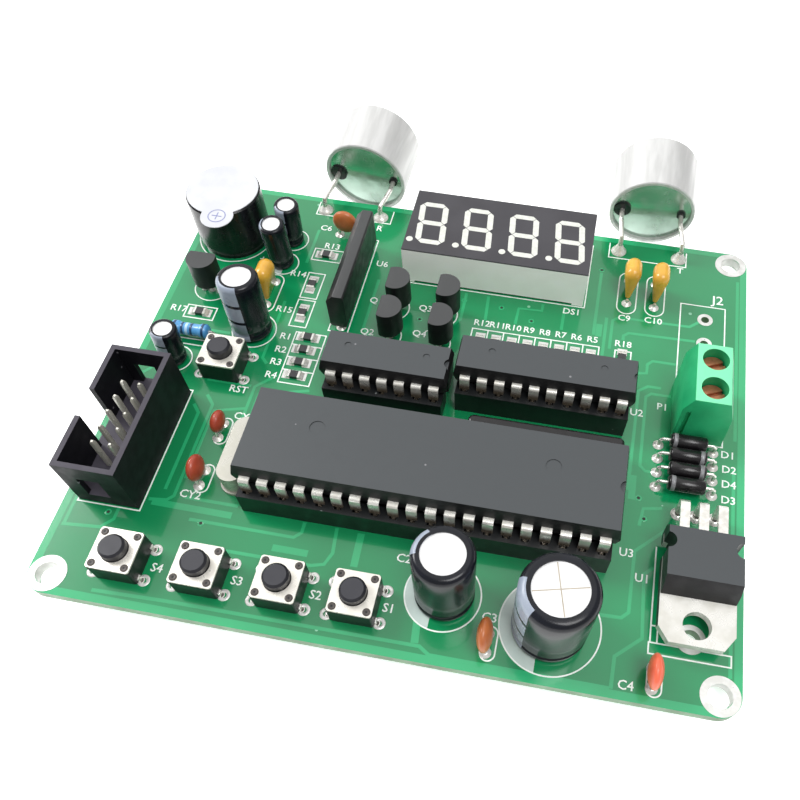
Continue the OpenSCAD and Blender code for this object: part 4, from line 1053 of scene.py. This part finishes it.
        lines += [arc((55.2, 9.5), 5.1, 0, 360, 64), arc((69.7, 7.85), 6.65, 0, 360, 72),
                  arc((7.0, 68.0), 6.3, 0, 360, 64), arc((16.9, 63.1), 2.5, 0, 360, 40),
                  arc((17.0, 68.7), 2.5, 0, 360, 40), arc((16.6, 48.1), 3.5, 0, 360, 40),
                  arc((6.4, 40.3), 2.5, 0, 360, 40)]
        transistors = ((37.3, 57.0), (37.3, 51.0), (45.3, 57.0), (45.3, 51.0))
        lines += [arc(centre, 2.7, -130, 130, 24) for centre in transistors]
        lines += [arc((7.0, 55.6), 2.9, 140, 400, 24)]
        lines += [[(12.6, 63.4), (13.6, 63.4)], [(13.1, 62.9), (13.1, 63.9)]]
        z = self.track_height + self.ink_height / 2
        ribbons = self.strokes.run(lines, z, self.line, self.ink_height, self.box.material(INK))
        self.join("board_printing", [ribbons, self._letters(z)], INK)
        fills = bmesh.new()
        filled = (((55.2, 9.5), 5.05, -1.1), ((69.7, 7.85), 6.6, -1.3), ((16.9, 63.1), 2.4, 0.2))
        for centre, r, edge in filled:
            turn = math.degrees(math.acos(edge / r))
            slab(fills, arc(centre, r, turn, 360 - turn, 40), 0.0, z)
        self.piece("crescents", fills, [PALE_INK])

    def _letters(self, z: float) -> bpy.types.Mesh:
        """The designators as one thin mesh.

        Args:
            z: Height of their middle above the board, in mm.

        Returns:
            The mesh.
        """
        joined = bmesh.new()
        for legend in self.legends:
            curve = bpy.data.curves.new("letters", "FONT")
            curve.body = legend.words
            curve.size = legend.size * MM * self.letter_scale
            curve.align_x, curve.align_y = "CENTER", "CENTER"
            curve.extrude = self.ink_height * MM / 2
            curve.offset = self.boldness * MM
            curve.resolution_u = 2
            carrier = bpy.data.objects.new("letters", curve)
            bpy.context.scene.collection.objects.link(carrier)
            mesh = plain_mesh(carrier)
            mesh.transform(Matrix.Translation(spot(legend.x, legend.y, z)))
            joined.from_mesh(mesh)
            bpy.data.meshes.remove(mesh)
            bpy.data.objects.remove(carrier)
            bpy.data.curves.remove(curve)
        bmesh.ops.remove_doubles(joined, verts=joined.verts, dist=1e-7)
        made = bpy.data.meshes.new("letters")
        joined.to_mesh(made)
        joined.free()
        return made

    def _lands(self) -> None:
        """Tinned lands, solder and vias."""
        self.refine("tinned_lands", LAND, angle=30.0)
        self.refine("solder_joints", SOLDER, angle=50.0)
        copper = self.box.material(TRACK)
        halos = self.rings.run(
            self.vias, self.track_z, self.via_r, self.via_section, self.via_flatness, copper)
        self.join("via_rings", [halos], TRACK)
        # Dark discs at the vias: painted shade of their holes, which are not cut.
        holes = bmesh.new()
        for via in self.vias:
            slab(holes, arc(via, self.via_hole_r, 0, 345, 23), 0.0, self.via_hole_height)
        self.piece("via_holes", holes, [HOLE])


# --- Chips ---


@dataclass
class Chips(Assembly):
    """The three socketed chips, the receiver and the resistor network."""

    bevel: float = 0.08
    can_bevel: float = 0.15
    crown: float = 0.5

    def make(self) -> None:
        """Dresses sockets, mouldings and leads."""
        for body in (Carrier.MCU, Carrier.DRIVER, Carrier.INVERTER):
            self.refine(f"{body.value}_socket", SOCKET)
            self.refine(f"{body.value}_chip", CHIP, body)
            self.refine(f"{body.value}_chip_leads", CHIP_LEAD, body, angle=50.0)
        self.refine("receiver_chip", SMALL_MOULDING, bevel=self.bevel)
        self._network()
        self.refine("crystal_can", NICKEL, bevel=self.can_bevel)
        for node in ("socket_contacts", "sip_leads"):
            self.dress(node, TIN)

    def _network(self) -> None:
        """The dipped resistor network, with its rounded top."""
        bm = node_mesh("resistor_network")
        top = max(vert.co.z for vert in bm.verts) - 1e-6
        rim = [e for e in bm.edges if all(v.co.z > top for v in e.verts) and e.calc_face_angle(0.0) > 0.5]
        bmesh.ops.bevel(bm, geom=rim, offset=self.crown * MM, segments=4, profile=0.5, affect="EDGES")
        self.piece("resistor_network_finished", bm, [DIODE], node="resistor_network")


# --- Display ---


@dataclass
class Display(Assembly):
    """Four figures in a dark face on a pale housing."""

    shells: tuple[tuple[str, Finish], ...] = (
        ("display_housing", HOUSING_WHITE), ("display_face", FACE_GREY), ("display_segments", SEGMENT))

    def make(self) -> None:
        """Dresses the housing, face, segments and pins."""
        for node, finish in self.shells:
            self.refine(node, finish)
        self.dress("display_pins", TIN)


# --- Transducers ---


@dataclass
class Transducers(Assembly):
    """Two brushed cans over the back edge."""

    pads: tuple[Spot, ...] = ((20.4, 77.0), (30.4, 77.0), (72.6, 77.0), (82.9, 77.0))
    fillet_tops: tuple[float, ...] = (0.9, 0.9, 1.4, 1.4)
    fillet_foot: tuple[Spot, ...] = ((0.42, 0.02), (1.32, 0.02), (1.28, 0.18), (0.95, 0.42))

    def make(self) -> None:
        """Dresses the cans and builds their solder fillets."""
        for node in ("transmitter_can", "receiver_can"):
            self.refine(node, BRUSHED, angle=40.0)
        # The base takes a green tint, a painted reflection of the board.
        self.refine("transducer_works", BASE_PLATE)
        self.refine("transducer_beads", BLACK_GLOSS)
        self.refine("transducer_leads", TIN, angle=60.0)
        self.dress("transducer_grilles", MESH)
        bm = bmesh.new()
        for pad, top in zip(self.pads, self.fillet_tops):
            profile = [*self.fillet_foot, (0.7, 0.75 * top), (0.42, top + 0.1)]
            revolve(bm, profile, Matrix.Translation(spot(*pad)), 28)
        self.piece("transducer_fillets", bm, [SOLDER], angle=70.0)


# --- Buzzer ---


@dataclass
class Buzzer(Assembly):
    """A round sounder with a white seal on top."""

    centre: Spot = (7.0, 68.0)
    top: float = 9.6
    mark_at: Spot = (1.2, -6.1)
    mark_r: float = 1.35
    mark_arm: float = 0.8
    mark_line: float = 0.17
    mark_z: float = 0.012
    mark_height: float = 0.02

    def make(self) -> None:
        """Dresses the case and prints the polarity mark on the seal."""
        self.refine("buzzer_case", BLACK_GLOSS, angle=30.0)
        self.refine("buzzer_label", SEAL)
        self.refine("buzzer_works", ENAMEL_WIRE)
        self.dress("buzzer_pins", TIN)
        x, y = self.centre[0] + self.mark_at[0], self.centre[1] + self.mark_at[1]
        arm = self.mark_arm
        cross = [[(x - arm, y), (x + arm, y)], [(x, y - arm), (x, y + arm)]]
        ink = self.box.material(FAINT_PRINT)
        marks = self.strokes.run(
            [arc((x, y), self.mark_r, 0, 360, 40), *cross], self.top + self.mark_z, self.mark_line,
            self.mark_height, ink)
        self.join("polarity_mark", [marks], FAINT_PRINT)


# --- Capacitors ---


@dataclass
class Electrolytic:
    """One sleeved can."""

    x: float
    y: float
    d: float
    h: float
    lean: float
    towards: float
    stripe: float
    stripe_half: float = 34.0
    scored: bool = False

    def frame(self) -> Matrix:
        """The can's own frame: its foot at zero, its axis along Z.

        Returns:
            Where that frame stands, in metres.
        """
        lift = self.d / 2 * math.sin(math.radians(self.lean))
        foot = Matrix.Translation(spot(self.x, self.y, lift))
        turn = Matrix.Rotation(math.radians(self.towards), 4, "Z")
        return foot @ turn @ Matrix.Rotation(math.radians(self.lean), 4, "Y")


@dataclass
class Capacitors(Assembly):
    """Electrolytic cans, ceramic discs and dipped drops."""

    cans: tuple[Electrolytic, ...] = (
        Electrolytic(6.2, 40.3, 4, 7, 4, 0, 255), Electrolytic(16.7, 63.3, 4, 9, 6, 280, 190),
        Electrolytic(16.8, 68.6, 4, 8, 5, 320, 240), Electrolytic(16.4, 48.1, 6.3, 11, 3.3, 100, 238, 46),
        Electrolytic(55.4, 9.7, 8, 13, 0, 0, 160, 30), Electrolytic(69.6, 7.9, 10, 13, 0, 0, 198, 30, True))
    sleeve: float = 0.15
    mouth: float = 0.7
    shoulder: float = 0.15
    groove: float = 0.08
    steps: int = 72
    score_half: float = 0.07
    mark_at: tuple[float, ...] = (0.36, 0.41, 0.66, 0.71)

    def make(self) -> None:
        """Builds the sleeves and dresses the rest."""
        self.refine("capacitor_cans", CAN_TOP, angle=30.0)
        self.dress("capacitor_bungs", RUBBER)
        bm = bmesh.new()
        for can in self.cans:
            self._sleeve(bm, can)
        self.piece("sleeves", bm, (SLEEVE, STRIPE), angle=50.0, node="capacitor_sleeves")
        self._score()
        bm = node_mesh("disc_capacitors")
        for face in bm.faces:
            x, y, _ = face.calc_center_median()
            near_crystal = x < spot(40, 0).x and y < spot(0, 60).y
            face.material_index = 1 if near_crystal else 2 if x > spot(75, 0).x else 0
        self.piece("disc_capacitors_finished", bm, (ORANGE, BRICK, CORAL), angle=60.0, node="disc_capacitors")
        self.refine("dipped_capacitors", YELLOW, angle=80.0)
        self.dress("small_part_leads", TIN)

    def _sleeve(self, bm: bmesh.types.BMesh, can: Electrolytic) -> None:
        """Adds a printed sleeve, shrunk over its can's groove and rims.

        Args:
            bm: The mesh to add to.
            can: The can that it covers.
        """
        r, h, t = can.d / 2, can.h, self.sleeve
        groove, roll, turn_in = r * self.groove, r * self.shoulder, (r - t) * self.shoulder
        marks = [h * share for share in self.mark_at]
        foot = [(r - 0.3, 0.3), (r - 0.06, 0.34), (r, 0.5), (r, 1.15)]
        waist = [(r - 0.6 * groove, 1.35), (r - groove, 1.6), (r - 0.6 * groove, 1.9), (r, 2.15)]
        rim = [(r, h - 1.4 * roll), (r - 0.12 * roll, h - roll), (r - 0.4 * roll, h - 0.5 * roll),
               (r - 0.8 * roll, h - 0.16 * roll), (r - 1.25 * roll, h - 0.02), (r * self.mouth, h - 0.01)]
        inner = [(r * self.mouth, h - t), (r - t - turn_in, h - t), (r - t, h - t - turn_in), (r - t, 0.35),
                 foot[0]]
        outline = [*foot, *waist, *[(r, z) for z in marks], *rim, *inner]
        faces = revolve(bm, outline, can.frame(), self.steps)
        back = can.frame().inverted()
        for face in faces:
            middle = back @ face.calc_center_median()
            angle = math.degrees(math.atan2(middle.y, middle.x))
            turn = (angle - can.stripe + can.towards + 540) % 360 - 180
            marked = any(low * MM < middle.z < high * MM for low, high in zip(marks[::2], marks[1::2]))
            if abs(turn) < can.stripe_half and middle.z < (h - 0.02) * MM and not marked:
                face.material_index = 1

    def _score(self) -> None:
        """The vent's shallow cross on the widest can, as a flat darker mark: painted shade of its grooves."""
        bm = bmesh.new()
        for can in self.cans:
            if not can.scored:
                continue
            r, w, top = can.d / 2 * self.mouth * 0.97, self.score_half, can.h - self.sleeve
            for angle in (14, 104):
                c, s = math.cos(math.radians(angle)), math.sin(math.radians(angle))
                corners = [(can.x + c * a - s * b, can.y + s * a + c * b)
                           for a, b in ((-r, -w), (r, -w), (r, w), (-r, w))]
                slab(bm, corners, top - 0.02, top + 0.006 + angle * 1e-5)
        self.piece("vent_score", bm, [SCORE])


# --- Small parts ---


@dataclass
class SmallParts(Assembly):
    """Transistors, diodes, the film resistor and the chip resistors."""

    bevel: float = 0.07
    diode: Spot = (85.8, 31.25)
    diode_step: float = 2.4
    diode_r: float = 1.1
    diode_z: float = 1.8
    band_sides: tuple[int, ...] = (-1, 1, 1, -1)
    band_at: float = 1.95
    band_half: float = 0.3
    film: Triple = (7.6, 45.0, 1.75)
    film_r: float = 0.966
    film_cap_r: float = 1.15
    film_bands: tuple[float, ...] = (-2.3, -1.1, -0.35, 0.4, 2.3)
    film_band_half: float = 0.22
    chips: tuple[tuple[float, float, int], ...] = (
        *[(52.4 + i * PITCH, 52.6, 1) for i in range(8)], *[(25.5, 40.6 + i * PITCH, 0) for i in range(4)],
        (75.1, 53.6, 1), (22.9, 59.3, 1), (23.1, 53.0, 1), (23.5, 66.3, 0), (6.8, 50.05, 0))
    cap: tuple[Spot, ...] = (
        (0.62, 0.0), (1.5, 0.0), (1.5, 0.05), (1.2, 0.2), (1.02, 0.44), (0.98, 0.52), (0.62, 0.52))
    cap_half: float = 0.645
    land_at: float = 1.25
    land_half: Spot = (0.65, 0.78)
    land_height: float = 0.035

    def make(self) -> None:
        """Dresses the bodies, then adds bands and solder."""
        self.refine("transistors", SMALL_MOULDING, bevel=self.bevel)
        self.refine("diodes", DIODE, angle=60.0)
        self.refine("film_resistor", SKY_BLUE, angle=60.0)
        self.refine("chip_resistors", RESIST)
        self._cathode_bands()
        self._film_bands()
        self._chip_ends()

    @staticmethod
    def _band(
        bm: bmesh.types.BMesh, at: Vector, radius: float, middle: float, half: float, sink: float,
        slot: int = 0
    ) -> None:
        """Adds a band round an axis along X.

        Args:
            bm: The mesh to add to.
            at: A place on the axis, in metres.
            radius: The band's radius, in mm.
            middle: Its place along the axis, in mm.
            half: Half its width, in mm.
            sink: How far its edges dip into the body, in mm.
            slot: Material slot of its faces.
        """
        inside, crest = radius - sink, half - 0.02
        profile = [(inside, middle - half), (radius, middle - crest), (radius, middle + crest),
                   (inside, middle + half)]
        revolve(bm, profile, Matrix.Translation(at) @ Matrix.Rotation(math.radians(90), 4, "Y"), slot=slot)

    def _cathode_bands(self) -> None:
        """A pale band at each diode's cathode."""
        bm = bmesh.new()
        x, y = self.diode
        for i, side in enumerate(self.band_sides):
            at = spot(x, y + i * self.diode_step, self.diode_z)
            self._band(bm, at, self.diode_r + 0.015, side * self.band_at, self.band_half, 0.03)
        self.piece("cathode_bands", bm, [SILVER_BAND], angle=60.0)

    def _film_bands(self) -> None:
        """Colour bands round the film resistor."""
        bm = bmesh.new()
        for i, middle in enumerate(self.film_bands):
            body_r = self.film_cap_r if abs(middle) > 1.9 else self.film_r
            self._band(bm, spot(*self.film), body_r + 0.012, middle, self.film_band_half, 0.02, int(i == 2))
        self.piece("film_bands", bm, (BAND, PALE_BAND), angle=60.0)

    def _chip_ends(self) -> None:
        """A tinned cap with its fillet and a bright land at each chip resistor's end."""
        caps, lands = bmesh.new(), bmesh.new()
        for x, y, turned in self.chips:
            for side in (-1, 1):
                near, far = [
                    [caps.verts.new(self._beside(x, y, turned, side * along, across, z))
                     for along, z in self.cap] for across in (-self.cap_half, self.cap_half)]
                caps.faces.new(near)
                caps.faces.new(far[::-1])
                for i in range(len(self.cap)):
                    j = (i + 1) % len(self.cap)
                    caps.faces.new([near[i], near[j], far[j], far[i]])
                reach = side * self.land_at
                cx, cy = (x, y + reach) if turned else (x + reach, y)
                w, d = self.land_half[::-1] if turned else self.land_half
                corners = [(cx - w, cy - d), (cx + w, cy - d), (cx + w, cy + d), (cx - w, cy + d)]
                slab(lands, corners, 0.0, self.land_height)
        bmesh.ops.recalc_face_normals(caps, faces=caps.faces)
        self.piece("chip_ends", caps, [SOLDER], angle=80.0)
        self.piece("chip_lands", lands, [LAND], angle=30.0)

    @staticmethod
    def _beside(x: float, y: float, turned: int, along: float, across: float, z: float) -> Vector:
        """A place by a chip resistor, along and across its length."""
        return spot(x + across, y + along, z) if turned else spot(x + along, y + across, z)


# --- Connectors ---


@dataclass
class Connectors(Assembly):
    """The boxed header and the screw terminal."""

    bevel: float = 0.08

    def make(self) -> None:
        """Dresses both connectors."""
        self.refine("header_shell", HEADER_BLACK)
        self.refine("header_pins", NICKEL, bevel=self.bevel)
        self.refine("terminal_housing", MINT, bevel=self.bevel)
        self.dress("terminal_contacts", TIN)
        for side in ("front", "back"):
            self.refine(f"terminal_screw_{side}", BRASS, Carrier(f"{side}_screw"))
            self.refine(f"terminal_clamp_{side}", STEEL, Carrier(f"{side}_clamp"))


# --- Regulator ---


@dataclass
class Regulator(Assembly):
    """The three-lead regulator lying on its tab."""

    moulding_from: float = 12.0

    def make(self) -> None:
        """Dresses the moulding, tab and leads."""
        self.refine("regulator_moulding", CHIP)
        bm = node_mesh("regulator_tab")
        for face in bm.faces:
            inside = face.calc_center_median().y > spot(0, self.moulding_from).y
            face.material_index = 1 if inside and abs(face.normal.x) > 0.5 else 0
        self.piece("regulator_tab_finished", bm, (TAB, CHIP), node="regulator_tab")
        self.refine("regulator_leads", TIN, angle=50.0)


# --- Push switches ---


@dataclass
class Switches(Assembly):
    """Five push switches with their lands and rivets."""

    centres: tuple[Spot, ...] = ((44.3, 6.35), (34.2, 6.35), (23.3, 6.35), (12.2, 6.35), (14.6, 40.5))
    buttons: tuple[Carrier, ...] = (
        Carrier.BUTTON_1, Carrier.BUTTON_2, Carrier.BUTTON_3, Carrier.BUTTON_4, Carrier.RESET_BUTTON)
    leg_at: Spot = (3.55, 2.25)
    leg_bevel: float = 0.05
    land_z: float = 0.02
    land_r: float = 0.62
    land_section: float = 0.24
    land_flatness: float = 0.3
    rivet_at: float = 2.25
    rivet_z: float = 3.6
    rivet: tuple[Spot, ...] = ((0.0, 0.0), (0.52, 0.0), (0.52, 0.06), (0.44, 0.12), (0.3, 0.1), (0.0, 0.06))

    def make(self) -> None:
        """Dresses the switches and solders their legs."""
        self.refine("switch_bases", SOCKET)
        self.refine("switch_plates_and_domes", PLATE)
        self.refine("switch_legs", TIN, bevel=self.leg_bevel)
        for body in self.buttons:
            self.refine(body.value, BUTTON, body, angle=30.0)
        tin = self.box.material(LAND)
        lands = self.rings.run(
            self._corners(*self.leg_at), self.land_z, self.land_r, self.land_section, self.land_flatness, tin)
        self.join("switch_lands", [lands], LAND)
        heads = bmesh.new()
        for x, y in self._corners(self.rivet_at, self.rivet_at):
            revolve(heads, self.rivet, Matrix.Translation(spot(x, y, self.rivet_z)), 20)
        self.piece("rivet_heads", heads, [RIVET], angle=60.0)

    def _corners(self, dx: float, dy: float) -> list[Spot]:
        """Four places round each switch's middle, in board mm."""
        return [(x + sx * dx, y + sy * dy) for x, y in self.centres for sx in (-1, 1) for sy in (-1, 1)]


# --- Studio ---


@dataclass
class Studio(Assembly):
    """Floor, light and camera."""

    floor_z: float = -2.45
    floor_size: float = 4.0
    eye: Triple = (16.724, -65.533, 95.429)
    forward: Triple = (-0.07623, 0.47302, -0.87775)
    up: Triple = (-0.16467, 0.86225, 0.47897)
    sensor: float = 36.0
    lens: float = 33.88
    shift: Spot = (-0.086, 0.118)
    nearest: float = 5.0
    room: float = 0.42
    boxes: tuple[tuple[str, Triple, float, float], ...] = (
        ("ceiling", (-0.15, 0.62, 0.8), 1.5, 6.0), ("key", (-0.62, 0.2, 0.5), 0.3, 4.6),
        ("overhead", (0.2, -0.16, 0.6), 0.3, 2.4))

    def make(self) -> None:
        """Sets the stage."""
        self._floor()
        self._lights()
        self._camera()

    def _floor(self) -> None:
        """A wide pale floor."""
        bpy.ops.mesh.primitive_plane_add(size=self.floor_size, location=(0, 0, self.floor_z * MM))
        floor = bpy.context.active_object
        floor.name = "floor"
        floor.data.materials.append(self.box.material(FLOOR))

    def _lights(self) -> None:
        """A dim room with three soft boxes: behind, to the left and overhead."""
        bpy.context.scene.view_settings.view_transform = "Standard"
        world = bpy.data.worlds.new("room")
        bpy.context.scene.world = world
        world.use_nodes = True
        sky = world.node_tree.nodes["Background"]
        sky.inputs["Color"].default_value = (1.0, 1.0, 1.0, 1.0)
        sky.inputs["Strength"].default_value = self.room
        for name, at, size, power in self.boxes:
            light = bpy.data.lights.new(name, "AREA")
            light.size = size
            light.energy = power
            holder = bpy.data.objects.new(name, light)
            holder.location = at
            holder.rotation_euler = (-Vector(at)).to_track_quat("-Z", "Y").to_euler()
            bpy.context.scene.collection.objects.link(holder)

    def _camera(self) -> None:
        """The camera, over the front edge and looking down."""
        lens = bpy.data.cameras.new("camera")
        lens.sensor_width = self.sensor
        lens.lens = self.lens
        lens.shift_x, lens.shift_y = self.shift
        lens.clip_start = self.nearest * MM
        forward, up = Vector(self.forward).normalized(), Vector(self.up).normalized()
        side = forward.cross(up).normalized()
        up = side.cross(forward)
        holder = bpy.data.objects.new("camera", lens)
        turn = Matrix((side, up, -forward)).transposed().to_4x4()
        holder.matrix_world = Matrix.Translation(Vector(self.eye) * MM) @ turn
        bpy.context.scene.collection.objects.link(holder)
        bpy.context.scene.camera = holder


def main() -> None:
    """Builds every piece in order."""
    logging.basicConfig(level=logging.INFO, format="%(name)s: %(message)s")
    means = (Paintbox(), StrokeTree(), RingTree())
    for assembly in (Studio, Board, Chips, Display, Transducers, Buzzer, Capacitors, SmallParts, Connectors,
                     Regulator, Switches):
        assembly(*means).make()
        LOG.info("%s finished", assembly.__name__)


if __name__ == "__main__":
    main()
